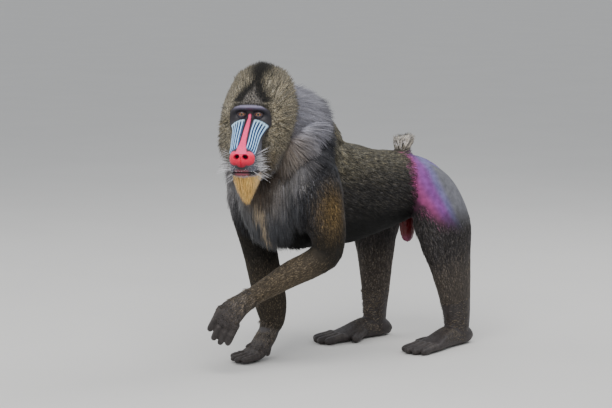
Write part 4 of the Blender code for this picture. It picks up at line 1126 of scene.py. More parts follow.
def head_surface(row, turn, coat=HEAD_COAT):
    """The head's surface at a fractional row and a turn round it, 0 on top."""
    fine = row_at(HEAD_ROWS, row)
    dorsal, ventral = fine[..., 0:2], fine[..., 2:4]
    across = unit(dorsal - ventral)
    dorsal = dorsal + across * fine[..., 6:7] * coat
    ventral = ventral - across * fine[..., 8:9] * coat
    half, power = fine[..., 4] + fine[..., 7] * coat, fine[..., 5]
    middle, reach = (dorsal + ventral) / 2, (dorsal - ventral) / 2
    c, s = power_wave(np.cos(turn), power), power_wave(np.sin(turn), power)
    return np.stack([half * s, middle[..., 0] + reach[..., 0] * c,
                     middle[..., 1] + reach[..., 1] * c], axis=-1)


def grid_normals(rings):
    """Outward normals of a closed stack of rings, from differences along and round it."""
    by_row = np.gradient(rings, axis=0)
    by_turn = np.roll(rings, -1, axis=1) - np.roll(rings, 1, axis=1)
    normals = unit(np.cross(by_row, by_turn))
    middle = rings.mean(axis=1, keepdims=True)
    outward = ((rings - middle) * normals).sum(axis=-1).mean()
    return normals if outward > 0 else -normals


def bone_relief(points):
    """Eye sockets, brow bar and the swellings beside the nose, pushed into the surface."""
    left, forward, up = points[..., 0], points[..., 1], points[..., 2]
    front = 1 / (1 + np.exp(-(forward + 1.0) / 0.3))
    socket = bell(np.abs(left), EYE_CENTRE[0], 1.25) * bell(up, -0.1, 0.85)
    brow = bell(up, 1.62, 0.58) / (1 + np.exp((np.abs(left) - 4.0) / 0.35))
    swell = bell(forward, 5.2, 2.6) * bell(np.abs(left), 2.5, 1.1) * (up > -8.5)
    pushed = points.copy()
    pushed[..., 1] += front * (0.45 * brow - 0.80 * socket) + 0.24 * swell
    pushed[..., 2] += 0.42 * swell
    return pushed


def ridge_field(row, turn_degrees):
    """Place along and across the cheek ridges: (along 0 to 1, across 0 to count)."""
    turned = np.abs(turn_degrees)
    share = (RIDGE_ROWS[0] - row) / (RIDGE_ROWS[0] - RIDGE_ROWS[1])
    spread = 0.80 + 0.32 * np.clip(share, 0, 1)
    across = (turned / spread - RIDGE_EDGES[0]) / (RIDGE_EDGES[1] - RIDGE_EDGES[0])
    return share + 0.05 * across, across * RIDGE_COUNT


def cheek_ridges(row, degrees):
    """Masks of the raised bands beside the nose and of their furrows, and their height.

    The height is |sin(pi * place across)|^0.7 over each band, a little sunk at its edges."""
    along, across = ridge_field(row, degrees)
    inside = rise(along, -0.02, 0.06) * rise(along, 1.02, 0.90)
    inside = inside * rise(across, -0.10, 0.15) * rise(across, RIDGE_COUNT + 0.15,
                                                       RIDGE_COUNT - 0.10)
    crown = np.abs(np.sin(math.pi * across))
    groove_tint_and_shade = inside * rise(crown, 0.94, 0.62) * rise(along, 0.02, 0.12)
    masks = {"along": along, "crown": crown, "ridge": inside, "groove_tint_and_shade": groove_tint_and_shade}
    return masks, inside * (0.40 * crown ** 0.7 - 0.08)


def nose_strip(row, degrees, left, up):
    """Mask of the strip from the brow to the nose pad."""
    half = np.interp(row, STRIP_ROWS, STRIP_WIDTHS)
    strip = rise(np.abs(left) / half, 1.15, 0.75) * rise(row, 6.8, 6.4) * (up > -8.0)
    return strip * (np.abs(degrees) < 70)


def mouth_masks(row, degrees, up):
    """Height over the mouth's curved line, and masks of the lips and the slit on it."""
    line = MOUTH_UP + MOUTH_RISE * np.clip(row / MOUTH_CORNER, 0, 1.2) ** 2
    mouth = (up - line) * rise(np.abs(degrees), 60, 80) + 9.0 * rise(np.abs(degrees), 80, 60)
    reach = rise(row, MOUTH_CORNER + 0.5, MOUTH_CORNER - 0.3) * rise(row, -0.4, 0.1)
    lips = reach * (bell(mouth, 0.42, 0.30) + 0.9 * bell(mouth, -0.42, 0.32))
    return mouth, lips, reach * bell(mouth, 0.0, 0.13)


def face_relief(height, row, degrees, left, up, mouth):
    """The height with folds under the eyes, a furrowed brow, a dip and whisker pits."""
    folds = bell(up, -1.55, 0.22) + 0.7 * bell(up, -2.15, 0.20)
    folds = folds * bell(np.abs(left), 2.3, 1.3) * (row > 5.4) * (row < 8.0)
    furrow = np.sin(left * 5.2 + 0.6 * np.sin(up * 3)) * bell(up, 1.7, 0.55) * (row > 6.5)
    bridge = bell(left, 0, 0.55) * bell(up, 0.9, 0.7) * (row > 6.4) * (row < 9)
    pits = np.sin(row * 19) * np.sin(np.radians(degrees) * 34)
    pad = rise(row, 3.6, 2.6) * rise(np.abs(degrees), 66, 82) * rise(mouth, 0.5, 0.9)
    height = height - 0.10 * folds
    height = height + 0.035 * furrow * (np.abs(left) < 4.3)
    return height - 0.10 * bridge + 0.05 * pad * pits


def with_nose(points, forward):
    """The surface swollen to the nose pad's ellipsoids, and a mask of the pad.

    A point moves along its ray from the pad's heart, to a soft maximum of its own distance
    and of those at which the ray leaves the ellipsoids."""
    heart = np.array(NOSE_HEART)
    ray = points - heart
    length = np.linalg.norm(ray, axis=-1)
    ray = ray / length[..., None]
    nose = np.zeros_like(length)
    total = np.exp(length / NOSE_SOFTNESS)
    for centre, radii in NOSE_BALLS:
        offset, scaled = (heart - centre) / radii, ray / radii
        a = (scaled ** 2).sum(axis=-1)
        b = (scaled * offset).sum(axis=-1)
        root = b ** 2 - a * ((offset ** 2).sum() - 1.0)
        out = np.where(root > 0, (-b + np.sqrt(np.maximum(root, 0))) / a, 0.0)
        out = np.where(forward > 6.0, out, 0.0)
        total = total + np.exp(out / NOSE_SOFTNESS)
        nose = np.maximum(nose, rise(out - length, -0.22, 0.02))
    reach = np.where(forward > 5.5, NOSE_SOFTNESS * np.log(total), length)
    return heart + ray * reach[..., None], nose


def press_nostrils(points, nose):
    """Presses slanting oval nostrils with raised rims, and a cleft, into the nose pad."""
    x, z = points[..., 0], points[..., 2]
    front = rise(points[..., 1], 8.9, 9.8)
    tilt = math.radians(NOSTRIL_TILT)
    across, up = np.abs(x) - NOSTRIL[0], z - NOSTRIL[1]
    u = across * math.cos(tilt) - up * math.sin(tilt)
    v = across * math.sin(tilt) + up * math.cos(tilt)
    oval = (u / NOSTRIL_RADII[0]) ** 2 + (v / NOSTRIL_RADII[1]) ** 2
    hole = np.exp(-oval ** 1.4) * front
    rim = np.exp(-((np.sqrt(oval) - 1.45) / 0.35) ** 2) * front
    cleft = bell(x, 0, 0.11) * rise(z, -8.3, -9.0) * front * nose
    points[..., 1] += -1.0 * hole + 0.10 * rim - 0.20 * cleft
    points[..., 0] -= np.sign(x) * 0.25 * hole
    return hole


@lru_cache(maxsize=None)
def head_grid():
    """The head as a closed grid of rings, with masks of its features, in centimetres.

    Rings run from the nose's pole over the muzzle, face and skull to the crown's pole. Each
    feature moves the surface along its normal by a height that depends on row and turn."""
    shrink = np.linspace(0.03, 1.0, 42)[:-1]
    rows = np.concatenate([np.linspace(0, 8.6, 205), np.linspace(8.6, 13, 42)[1:]])
    turn = turns(HEAD_AROUND)
    body = head_surface(rows[:, None], turn[None, :])
    pole = np.array((0.0, *NOSE_POLE))
    dome = 0.25 * (1 - shrink[:, None, None] ** 2) * np.array((0, 1.0, 0))
    cap = pole + (body[0] - pole) * shrink[:, None, None] + dome
    base = bone_relief(np.concatenate([cap, body]))
    row = np.concatenate([shrink - 1.0, rows])[:, None] + 0 * turn[None, :]
    degrees = np.degrees((turn + math.pi) % (2 * math.pi) - math.pi)[None, :] + 0 * row
    left, forward, up = base[..., 0], base[..., 1], base[..., 2]

    masks, height = cheek_ridges(row, degrees)
    strip = nose_strip(row, degrees, left, up)
    mouth, lips, slit = mouth_masks(row, degrees, up)
    height = height + 0.26 * strip
    height = height + 0.20 * lips - 0.42 * slit
    height = face_relief(height, row, degrees, left, up, mouth)
    points, nose = with_nose(base + grid_normals(base) * height[..., None], forward)
    hole = press_nostrils(points, nose)
    behind = row - np.interp(np.abs(degrees), HAIR_TURNS, HAIR_ROWS)
    return {
        **masks, "points": points, "row": row, "turn": degrees, "strip": strip, "nose": nose,
        "hole": hole, "lips": lips, "slit": slit, "mouth": mouth, "behind": behind,
        "hair": rise(behind, -0.12, 0.15),
    }


def head_marks(points, coat):
    """Colour of the hair at points of the head, in head centimetres.

    Olive hair, a dark crest that leans to the left, a dark V whose legs run down to the
    brow, and grey hair between the legs."""
    x, y, z = points[..., 0], points[..., 1], points[..., 2]
    x = x - 0.35 - 0.20 * np.maximum(z - 4.5, 0) + 0.22 * waves(points, 1.6, 21)
    colour = mixed(coat.hood, coat.back, 0.35 * rise(y, -5.0, -10.0))
    leg = 3.1 * (8.3 - z) / 5.1
    inside = rise(np.abs(x), leg, leg - 0.9)
    colour = mixed(colour, coat.forehead, inside * rise(z, 7.4, 6.2) * rise(z, 1.2, 2.0))
    arm = bell(np.abs(x), leg, 1.30) * rise(z, 2.2, 3.2) * rise(z, 9.4, 8.2)
    top = rise(z, 7.0, 8.2) * bell(x, 0.0, 1.40 + 0.70 * np.maximum(z - 8.0, 0))
    top = top * (1 - 0.35 * rise(z, 9.5, 12.0)) * (1 - 0.6 * rise(y, -8.0, -12.0))
    brows = rise(z, 2.9, 2.2) * rise(np.abs(x), 4.6, 3.8)
    dark = np.clip(np.maximum(np.maximum(1.2 * arm, 1.2 * top), 0.75 * brows), 0, 1)
    colour = mixed(colour, coat.crest, 0.96 * dark)
    low = rise(z, -6.5, -11.5)
    return mixed(colour, mixed(coat.mantle, coat.throat, rise(y, -6, 0)), 0.5 * low)


def face_colours(grid, face, coat):
    """Colours of the bare face from the grid's masks, laid over each other in order; some of them are
    painted highlights, reflections and shade.
    """
    x, z = grid["points"][..., 0], grid["points"][..., 2]
    row, turn = grid["row"], np.abs(grid["turn"])
    colour = np.broadcast_to(np.array(face.dark), grid["points"].shape)
    cheek = rise(row, 4.0, 6.0) * rise(turn, 50, 75)
    colour = mixed(colour, np.array(face.dark) * 1.5, 0.5 * cheek)
    brow = bell(z, 1.75, 0.55) * rise(np.abs(x), 5.3, 4.5) * (row > 6.8)
    colour = mixed(colour, face.brow, brow)
    # Muzzle: dark skin lightened to bluish grey, partly a painted reflection
    muzzle = rise(row, 4.6, 3.4) * rise(turn, 55, 72) * rise(grid["mouth"], -0.2, 0.4)
    colour = mixed(colour, face.muzzle, 0.75 * muzzle * rise(turn, 180, 96))
    chin = rise(grid["mouth"], -0.5, -1.0) * rise(row, 4.6, 3.2) * (turn > 90)
    colour = mixed(colour, face.chin, 0.8 * chin)
    # Pale upper ends of the bands, and painted highlights along each band's crest
    pale = mixed(face.ridge, face.ridge_top_and_highlight, np.maximum(rise(grid["along"], 0.35, 0.05),
                                                        rise(grid["crown"], 0.80, 0.96)))
    colour = mixed(colour, pale, grid["ridge"])
    # Furrows: their own deep blue, darkened further as painted shade
    colour = mixed(colour, face.groove_tint_and_shade, 0.95 * grid["groove_tint_and_shade"])
    colour = mixed(colour, face.strip, np.clip(grid["strip"] * 1.3, 0, 1))
    # Painted shade darkens the bottom of the nose pad, and a painted highlight pinkens its top
    pad = mixed(face.nose, np.array(face.nose) * 0.45, rise(z, -9.3, -10.6))
    colour = mixed(colour, mixed(pad, face.strip, 0.6 * rise(z, -8.4, -7.5)), grid["nose"])
    pink = np.where(grid["mouth"] > 0, 0.35, 0.75) * rise(row, 1.5, 0.4) * rise(np.abs(x), 2.0, 1.1)
    colour = mixed(colour, face.lip, np.clip(grid["lips"], 0, 1) * pink)
    # Painted shade along the mouth's crease
    slit = np.clip(grid["slit"] * 1.1, 0, 1) * (0.35 + 0.65 * rise(np.abs(x), 2.7, 1.7))
    colour = mixed(colour, (0.012, 0.004, 0.006), slit)
    # Painted shade inside the nostrils
    colour = mixed(colour, (0.010, 0.002, 0.004), np.clip(grid["hole"] * 1.5, 0, 1))
    # Painted shade: the skin under the hair is darkened to half the hair's colour
    hair = head_marks(grid["points"], coat) * 0.5
    return mixed(colour, hair, grid["hair"])


def make_head_skin(face, coat):
    """The bare face and the skull under the hair as one closed grid."""
    grid = head_grid()
    rings = head_place(grid["points"])
    start = rings[0].mean(axis=0)
    points, faces = closed_rings(rings, start, head_place((0.0, *CROWN_POLE)))
    obj = make_mesh("head_skin", points, faces)
    set_colours(obj, with_poles(face_colours(grid, face, coat)))
    finish = new_material("face_finish", 0.46, 0.4, (0.0011, 0.0005, 1.0), (0.004, 0.10, 1.0))
    finish_piece(obj, finish, "hood_and_face", ["head"])


def eye_rings(side, face):
    """An eyeball whose rings run round the way that it looks, with its colours.

    Radius = ball radius, plus a low dome over the iris; colour depends on the angle."""
    angle = np.concatenate([np.linspace(0.02, 0.75, 34), np.linspace(0.80, math.pi - 0.06, 26)])
    turn = turns(56)
    radius = EYE_RADIUS + 0.07 * rise(angle, 0.66, 0.30)
    a, b = angle[:, None], turn[None, :]
    gaze = np.array([0.02, 0.0, -0.02])
    r = radius[:, None]
    local = np.stack([r * np.sin(a) * np.cos(b), r * np.cos(a) + 0 * b,
                      r * np.sin(a) * np.sin(b)], axis=-1)
    local = local + gaze * rise(angle, 1.2, 0.4)[:, None, None]
    centre = np.array(EYE_CENTRE) * (side, 1, 1)
    streak = 0.82 + 0.18 * np.sin(turn * 23)[None, :] * rise(angle, 0.2, 0.4)[:, None]
    iris = np.array(face.iris) * streak[..., None]
    iris = mixed(iris, np.array(face.iris) * 0.25, rise(a + 0 * b, 0.50, 0.60))
    white = np.broadcast_to(np.array(face.white), iris.shape)
    colour = mixed(iris, white, rise(a + 0 * b, 0.58, 0.66))
    colour = mixed((0.004, 0.003, 0.003), colour, rise(a + 0 * b, 0.20, 0.24))
    return head_place(centre + local), colour


def make_eyes(face):
    """Both eyeballs, and lids that close round them."""
    wet = new_material("eye_finish", 0.12, 0.6, None, (0.0012, 0.12, 1.0), coat=1.0)
    for side, name in SIDES:
        rings, colours = eye_rings(side, face)
        points, faces = closed_rings(rings, rings[0].mean(axis=0), rings[-1].mean(axis=0))
        obj = make_mesh("eye_" + name + "_ball", points, faces)
        set_colours(obj, with_poles(colours))
        finish_piece(obj, wet, "eye", ["eye_" + name])
    skin = new_material("lid_finish", 0.45, 0.4, (0.0010, 0.0004, 1.0), (0.003, 0.15, 1.0))
    obj = make_mesh("eyelids", *joined([lid_ring(1), lid_ring(-1)]))
    points, _, _ = points_of(obj)
    local = head_back(points)
    across, up = np.abs(local[:, 0]) - EYE_CENTRE[0], local[:, 2] - EYE_CENTRE[2]
    away = np.sqrt((across / EYE_OPEN[0]) ** 2 + (up / EYE_OPEN[1]) ** 2)
    colour = mixed(np.array(face.dark) * 0.7, face.brow, 0.6 * bell(up, -0.75, 0.18))
    set_colours(obj, mixed(colour, face.lid, 0.8 * bell(away, 1.05, 0.28)))
    finish_piece(obj, skin, "hood_and_face")


def lid_ring(side):
    """Upper and lower lid as one closed roll round an almond-shaped opening.

    The section runs from inside the opening's edge, over the lid's roll and out to where it
    sinks into the socket; its distance from the eye's centre follows the eyeball."""
    around = 72
    turn = turns(around)
    out = np.array([-0.02, -0.01, 0.03, 0.10, 0.22, 0.40, 0.62, 0.85, 0.75, 0.35])
    lift = np.array([-0.10, 0.08, 0.17, 0.20, 0.19, 0.16, 0.06, -0.12, -0.45, -0.35])
    wide, tall = EYE_OPEN
    sine = np.sin(turn)
    high = np.where(sine > 0, tall, tall * 0.92)
    x0, z0 = wide * np.cos(turn), high * sine * (0.55 + 0.45 * np.abs(sine))
    way = unit(np.stack([np.cos(turn) * 0.8, sine], axis=-1))
    x = x0[None] + way[None, :, 0] * out[:, None]
    z = z0[None] + way[None, :, 1] * out[:, None]
    fold = 0.05 * bell(out, 0.40, 0.10)[:, None] * (sine > 0)[None, :]
    radius = EYE_RADIUS + lift[:, None] - fold
    y = np.sqrt(np.maximum(radius ** 2 - x ** 2 - z ** 2, 0.04))
    centre = np.array(EYE_CENTRE) * (side, 1, 1)
    section = head_place(centre + np.stack([x * side, y, z], axis=-1))
    count = len(out)
    faces = ring_faces(count + 1, around) % (count * around)
    if side > 0:
        faces = faces[:, ::-1]
    return section.reshape(-1, 3), [faces]


def ear_shell(side):
    """A cupped oval ear: an ellipsoid whose outer face is hollowed inside a rolled rim."""
    lean = math.radians(20)
    tilt = (np.arange(1, 40) * math.pi / 40)[:, None]
    turn = turns(64)[None, :]
    out = np.cos(tilt) + 0 * turn
    fore, tall = np.sin(tilt) * np.cos(turn), np.sin(tilt) * np.sin(turn)
    away = np.sqrt(fore ** 2 + tall ** 2)
    hollow = rise(away, 0.86, 0.55) * (out > 0)
    inner_fold = bell(away, 0.50, 0.10) * (out > 0) * rise(fore, -0.3, 0.3)
    depth = out - 1.05 * hollow + 0.35 * inner_fold
    p = np.stack([depth * EAR_RADII[0], fore * EAR_RADII[1], tall * EAR_RADII[2]], axis=-1)

    def place(v):
        forward = v[..., 1] * math.cos(lean) + v[..., 0] * math.sin(lean)
        outward = v[..., 0] * math.cos(lean) - v[..., 1] * math.sin(lean)
        return head_place(np.stack([side * (outward + EAR_CENTRE[0]), forward + EAR_CENTRE[1],
                                    v[..., 2] + EAR_CENTRE[2]], axis=-1))
    poles = place(np.array((-0.05 * EAR_RADII[0], 0, 0))), place(np.array((-EAR_RADII[0], 0, 0)))
    return closed_rings(place(p), *poles)


def make_ears(settings):
    """Both ears."""
    finish = new_material("ear_finish", 0.5, 0.35, (0.0014, 0.0005, 1.0), (0.006, 0.25, 1.0),
                          settings.ear_colour)
    for side, name in SIDES:
        obj = make_mesh("ear_" + name + "_skin", *ear_shell(side))
        finish_piece(obj, finish, "ear_skin", ["ear_" + name])


# Coat.

TUFT_FACES = ((0, 1, 2), (1, 0, 3, 4), (2, 1, 4, 5), (0, 2, 5, 3), (4, 3, 6), (5, 4, 6), (3, 5, 6))
TUFT_POINTS = 7
# Place along the tuft, then the shares of its width and thickness, of its two sections.
TUFT_SECTIONS = ((0.0, 0.62, 0.8), (0.52, 1.0, 1.0))
TUFT_THICKNESS = 0.32   # of its width
TUFT_SOFTNESS = 0.72    # share of the skin's normal in the shading of a tuft
LOWEST_HAIR = 0.0012    # least height of a tuft's points over the floor
PATCH = 0.003           # size of one tuft's patch on the bake map
MAP_START, MAP_SPAN = 0.01, 0.98    # the part of the bake map inside its margins
MANTLE_LEAD = 0.036     # how far ahead of the mantle's visible edge its last roots are
WAIST = 0.425           # height where the coat of the back gives way to the flanks'


def scatter(points, triangles, weight, count, seed):
    """Evenly spread places on a mesh: triangle numbers and the three corners' shares.

    The triangles' areas times the weight are laid end to end and read at equal steps."""
    dice = np.random.default_rng(seed)
    a, b, c = (points[triangles[:, k]] for k in range(3))
    area = np.linalg.norm(np.cross(b - a, c - a), axis=1) * weight[triangles].mean(axis=1)
    total = np.cumsum(area)
    steps = (np.arange(count) + dice.random(count)) / count * total[-1]
    chosen = np.searchsorted(total, steps).clip(0, len(triangles) - 1)
    u, v = dice.random(count), dice.random(count)
    over = u + v > 1
    u, v = np.where(over, 1 - u, u), np.where(over, 1 - v, v)
    return chosen, np.stack([1 - u - v, u, v], axis=1)


def at_places(values, triangles, chosen, shares):
    """Values of the mesh's points, read at scattered places."""
    return np.einsum("nk,nk...->n...", shares, values[triangles[chosen]])


def grow_tufts(name, roots, normals, start, lie, length, width, thickness, colours, unwrap,
               material, slot, nodes=(), soft=TUFT_SOFTNESS):
    """One coat piece: a closed, flat, pointed and bent tuft at every root, as one mesh.

    Centre line: root + length * (start (t - t2 / 2) + lie t2 / 2), with t2 = t squared.
    The section is a low ridge over a flat underside, widest in the middle. colours has the
    colours at the root, the middle and the tip."""
    count = len(roots)
    length, width, thickness = (np.broadcast_to(v, count)[:, None] for v in
                                (length, width, thickness))
    start, lie, normals = unit(start), unit(lie), unit(normals)
    points = np.empty((count, TUFT_POINTS, 3))
    shading = np.empty_like(points)
    base = roots - normals * np.minimum(0.002, length * 0.15)
    for station, (t, half_share, thick_share) in enumerate(TUFT_SECTIONS):
        centre = base + length * (start * (t - t * t / 2) + lie * t * t / 2)
        along = unit(start * (1 - t) + lie * t)
        side = unit(np.cross(along, normals))
        flat = np.cross(side, along)
        half, thick = width / 2 * half_share, thickness * thick_share
        first = station * 3
        points[:, first] = centre + side * half
        points[:, first + 1] = centre + flat * thick
        points[:, first + 2] = centre - side * half
        for k, out in ((0, side), (1, flat), (2, -side)):
            shading[:, first + k] = unit(normals * soft + (out * 0.8 + flat * 0.6) * (1 - soft))
    points[:, 6] = base + length * (start + lie) / 2
    shading[:, 6] = unit(normals * soft + np.cross(unit(np.cross(lie, normals)), lie) * (1 - soft))
    points[..., 2] = np.maximum(points[..., 2], LOWEST_HAIR)

    corners = np.concatenate([np.array(face) for face in TUFT_FACES])
    index = (np.arange(count)[:, None] * TUFT_POINTS + corners).ravel()
    sizes = np.tile([len(face) for face in TUFT_FACES], count)
    obj = mesh_object(name, points.reshape(-1, 3), index, sizes)
    mesh = obj.data
    layer = mesh.attributes.new("custom_normal", "FLOAT_VECTOR", "POINT")
    layer.data.foreach_set("vector", shading.astype(np.float32).ravel())
    tint = np.stack([colours[0]] * 3 + [colours[1]] * 3 + [colours[2]], axis=1)
    set_colours(obj, tint.reshape(-1, 3))
    across = np.array((-0.5, 0.0, 0.5, -0.5, 0.0, 0.5, 0.0))
    up = np.array((0.0, 0.0, 0.0, 0.5, 0.5, 0.5, 1.0)) - 0.5
    patch = unwrap[:, None] + np.stack([across, up], axis=-1)[None] * PATCH
    dice = np.random.default_rng(len(name))
    strand = np.stack([across, up], axis=-1)[None] + dice.uniform(0, 50, (count, 1, 2))
    for layer_name, values in (("OFBake", patch), ("strands", strand)):
        uv = mesh.uv_layers.new(name=layer_name)
        uv.uv.foreach_set("vector", values.reshape(-1, 2)[index].astype(np.float32).ravel())
    return finish_piece(obj, material, slot, nodes)


def banded(colour, dice, speckle, grain, root=0.42, tip=0.55):
    """Root, middle and tip colours of tufts: dark root, bright band and darker tip.

    speckle from 0 to 1 varies the band's brightness and warmth from tuft to tuft, and
    grain, smooth noise over the body, makes flecks of several tufts."""
    count = len(colour)
    speckle = np.broadcast_to(speckle, count)
    light = np.maximum(1 + speckle * (dice.uniform(-0.45, 0.55, count) + 0.62 * grain), 0.12)
    warm = speckle * dice.uniform(-0.5, 1.0, count)
    band = colour * light[:, None] * np.stack([1 + 0.10 * warm, 1 + 0.02 * warm,
                                               1 - 0.20 * warm], axis=1)
    ends = tip + (1 - tip) * (1 - speckle) * 0.8 + speckle * dice.uniform(-0.25, 0.5, count)
    return np.stack([colour * root, band * 1.12, band * np.maximum(ends, 0.12)[:, None]])


def fitted(unwrap):
    """Places on an unwrap, stretched to fill the bake map inside a narrow margin."""
    low, high = unwrap.min(axis=0), unwrap.max(axis=0)
    return MAP_START + MAP_SPAN * (unwrap - low) / np.maximum(high - low, 1e-6)


def unwrapped(points, bones):
    """Places on an unwrap of the body: each bone's surface is rolled out into its own strip."""
    share, way, place, foot = bones
    own = share.argmax(axis=1)
    pick = np.arange(len(points))
    offset = points - foot[pick, own]
    along = way[pick, own]
    side = unit(np.array((1.0, 0.0, 0.0)) - along * along[:, 0:1])
    depth = np.cross(side, along)
    turn = np.arctan2((offset * depth).sum(axis=1), (offset * side).sum(axis=1))
    strip = own + (turn / (2 * math.pi) + 0.5)
    return fitted(np.stack([strip, place[pick, own]], axis=1))


def hair_regions(roots, bones):
    """How far each root belongs to each region of the coat, and its place on its limb."""
    x, y, z = roots.T
    arms, arm_place = limb_values(bones, "arm")
    legs, leg_place = limb_values(bones, "leg")
    mantle = mantle_share(roots, MANTLE_LEAD)
    return {
        "limbs": np.clip(arms + legs, 0, 1),
        "limb_place": np.where(arms > legs, arm_place, leg_place),
        "mantle": mantle,
        "rear": mantle * rise(y - mantle_edge(z), -MANTLE_LEAD - 0.040, -MANTLE_LEAD),
        "chest": rise(y, -0.080, -0.115) * rise(z, 0.50, 0.44) * rise(arms, 0.85, 0.6),
        "bare": rump_share(roots),
        "side": rise(np.abs(x), 0.070, 0.165),
        "tail": bones[0][:, bone("tail")] > 0.6,
    }


def hair_length(roots, out, at, coat):
    """Length of the hair, from the settings of the regions that at gives the shares of."""
    place, limbs, side = at["limb_place"], at["limbs"], at["side"]
    low = rise(roots[:, 2], 0.48, 0.40)
    length = coat.back_length + (coat.flank_length - coat.back_length) * low
    on_limb = coat.limb_length + (coat.wrist_length - coat.limb_length) * rise(place, 0.10, 0.90)
    length = length * (1 - limbs) + on_limb * limbs
    for region, full in (("mantle", coat.mantle_length), ("chest", coat.chest_length),
                         ("bare", coat.rump_length)):
        length = length + (full - length) * at[region]
    length = length * (1 - (0.18 + 0.10 * side) * at["rear"]) * (1 - 0.22 * side * at["mantle"])
    on_tail = coat.tail_length * (1 - 0.62 * rise(out[:, 2], 0.2, 0.9))
    return np.where(at["tail"], on_tail, length)


def grow_on_body(name, zone, count, seed, material, slot, nodes=()):
    """A coat piece on the body's skin, where zone(points, normals, bones) is over 0.

    lift is the sine of the angle at which a tuft leaves the skin, and settle is how far out
    its tip points. The mantle's tufts lie closest on the sides and stand up on the nape,
    and they are shorter at its rear edge; those of the chest hang down."""
    scene = bpy.context.scene
    coat, rump = scene.mandrill_coat, scene.mandrill_rump
    points, normals, triangles = points_of(bpy.data.objects["body_skin"])
    weight = np.maximum(zone(points, normals, near_bones(points)), 0.0)
    chosen, shares = scatter(points, triangles, weight, count, seed)
    roots = at_places(points, triangles, chosen, shares)
    out = unit(at_places(normals, triangles, chosen, shares))
    dice = np.random.default_rng(seed + 1)
    number = len(roots)
    bones = near_bones(roots)
    flow = lie_of_coat(roots, out, bones)
    at = hair_regions(roots, bones)
    mantle, chest, bare, side, tail = (at[k] for k in ("mantle", "chest", "bare", "side", "tail"))
    length = hair_length(roots, out, at, coat)
    length = length * (1 + 0.12 * waves(roots, 0.03, seed)) * dice.uniform(0.78, 1.15, number)

    top = rise(out[:, 2], 0.1, 0.6) * mantle * (1 - 0.6 * side) * (1 - 0.9 * at["rear"])
    lift = 0.46 - (0.02 + 0.22 * side) * mantle + 0.10 * chest - 0.16 * bare
    lift = lift - 0.10 * at["limbs"] + 0.26 * top
    lift = np.where(tail, 0.72, lift - 0.08 * side)
    settle = 0.05 - (0.14 + 0.45 * side) * mantle - 0.04 * side + 0.36 * top
    settle = np.where(tail, 0.9, settle)
    swirl = unit(np.cross(out, flow))
    stray = (0.16 - 0.10 * mantle) * waves(roots, 0.045, seed + 3)
    stray = stray + dice.normal(0, 0.10, number) * (1 - 0.3 * mantle)
    flow = unit(flow + swirl * stray[:, None])
    start = flow * np.sqrt(1 - lift ** 2)[:, None] + out * lift[:, None]
    lie = flow + out * settle[:, None]
    inward = np.sign(roots[:, 0]) * side * mantle
    start[:, 0] -= 0.26 * inward
    start[:, 2] -= 0.4 * chest
    lie[:, 0] -= 0.60 * inward
    lie[:, 2] -= 0.15 * mantle * np.abs(out[:, 0]) + 0.9 * chest

    middle = roots + flow * length[:, None] * 0.5 + dice.normal(0, 0.005, roots.shape)
    marks = body_marks(middle, near_bones(middle), coat, rump)
    speckle = 0.80 - 0.55 * np.maximum(mantle, chest) - 0.40 * bare - 0.25 * at["limbs"]
    grain = 1.25 * waves(roots, 0.0075, seed + 7)
    colours = banded(marks, dice, np.clip(speckle, 0.15, 1), grain, root=0.45)
    thin = 1 - 0.26 * mantle - 0.35 * bare - 0.22 * at["limbs"] * at["limb_place"]
    width = coat.tuft_width * (1 - 0.45 * tail) * thin
    width = width * dice.uniform(0.8, 1.25, number)
    grow_tufts(name, roots, out, start, lie, length, width, width * TUFT_THICKNESS, colours,
               unwrapped(roots, bones), material, slot, nodes)


def zone_of(*names):
    """A weight that is the share of some bones."""
    numbers = [bone(n) for n in names]
    return lambda points, normals, bones: bones[0][:, numbers].sum(axis=1)


def above_wrists(weight):
    """The same weight, ended where the hands' and feet's own skin begins."""
    def limited(points, normals, bones):
        share, _, place, _ = bones
        ends = np.maximum.reduce([share[:, n] * (place[:, n] > 0.995) for n in range(2, 6)])
        return weight(points, normals, bones) * (ends < 0.5)
    return limited


def chest_zone(points, normals, bones):
    """The chest between the arms, below the throat."""
    chest = rise(points[:, 1], -0.085, -0.115) * rise(points[:, 2], 0.54, 0.50)
    return chest * rise(limb_values(bones, "arm")[0], 0.9, 0.5)


def mantle_zone(side):
    """One half of the mantle and neck; side is 1 for left and -1 for right."""
    def weight(points, normals, bones):
        own = rise(points[:, 0] * side, -0.002, 0.002)
        grown = np.maximum(mantle_share(points, MANTLE_LEAD),
                           rise(points[:, 1], -0.02, -0.05) * rise(points[:, 2], 0.50, 0.54))
        return own * rise(grown, 0.3, 0.6) * (1 - chest_zone(points, normals, bones))
    return weight


def behind_mantle(points):
    """1 where the mantle's roots end, 0 inside it."""
    return 1 - rise(mantle_share(points, MANTLE_LEAD), 0.4, 0.7)


def trunk_zone(low, high):
    """The trunk behind the mantle and ahead of the rump, between two heights."""
    def weight(points, normals, bones):
        trunk = bones[0][:, bone("trunk")] + bones[0][:, bone("neck")]
        other = behind_mantle(points) * (1 - chest_zone(points, normals, bones))
        band = (rise(points[:, 2], low - 0.004, low + 0.004)
                * rise(points[:, 2], high + 0.004, high - 0.004))
        return rise(trunk, 0.25, 0.5) * other * band * rise(rump_band(points), 0.0, -0.012)
    return weight


def rump_zone(points, normals, bones):
    """The rump and the upper thighs, but for the horny pads of the seat."""
    trunk = bones[0][:, bone("trunk")] * rise(rump_band(points), -0.014, -0.002)
    thigh = limb_values(bones, "leg")[0] * rise(points[:, 2], 0.295, 0.305)
    pads = rise(seat_away(points, (0.024, 0.032)), 1.0, 0.8)
    bare = pads * rise(points[:, 1], 0.377, 0.392)
    return rise(np.maximum(trunk, thigh), 0.3, 0.5) * (1 - bare)


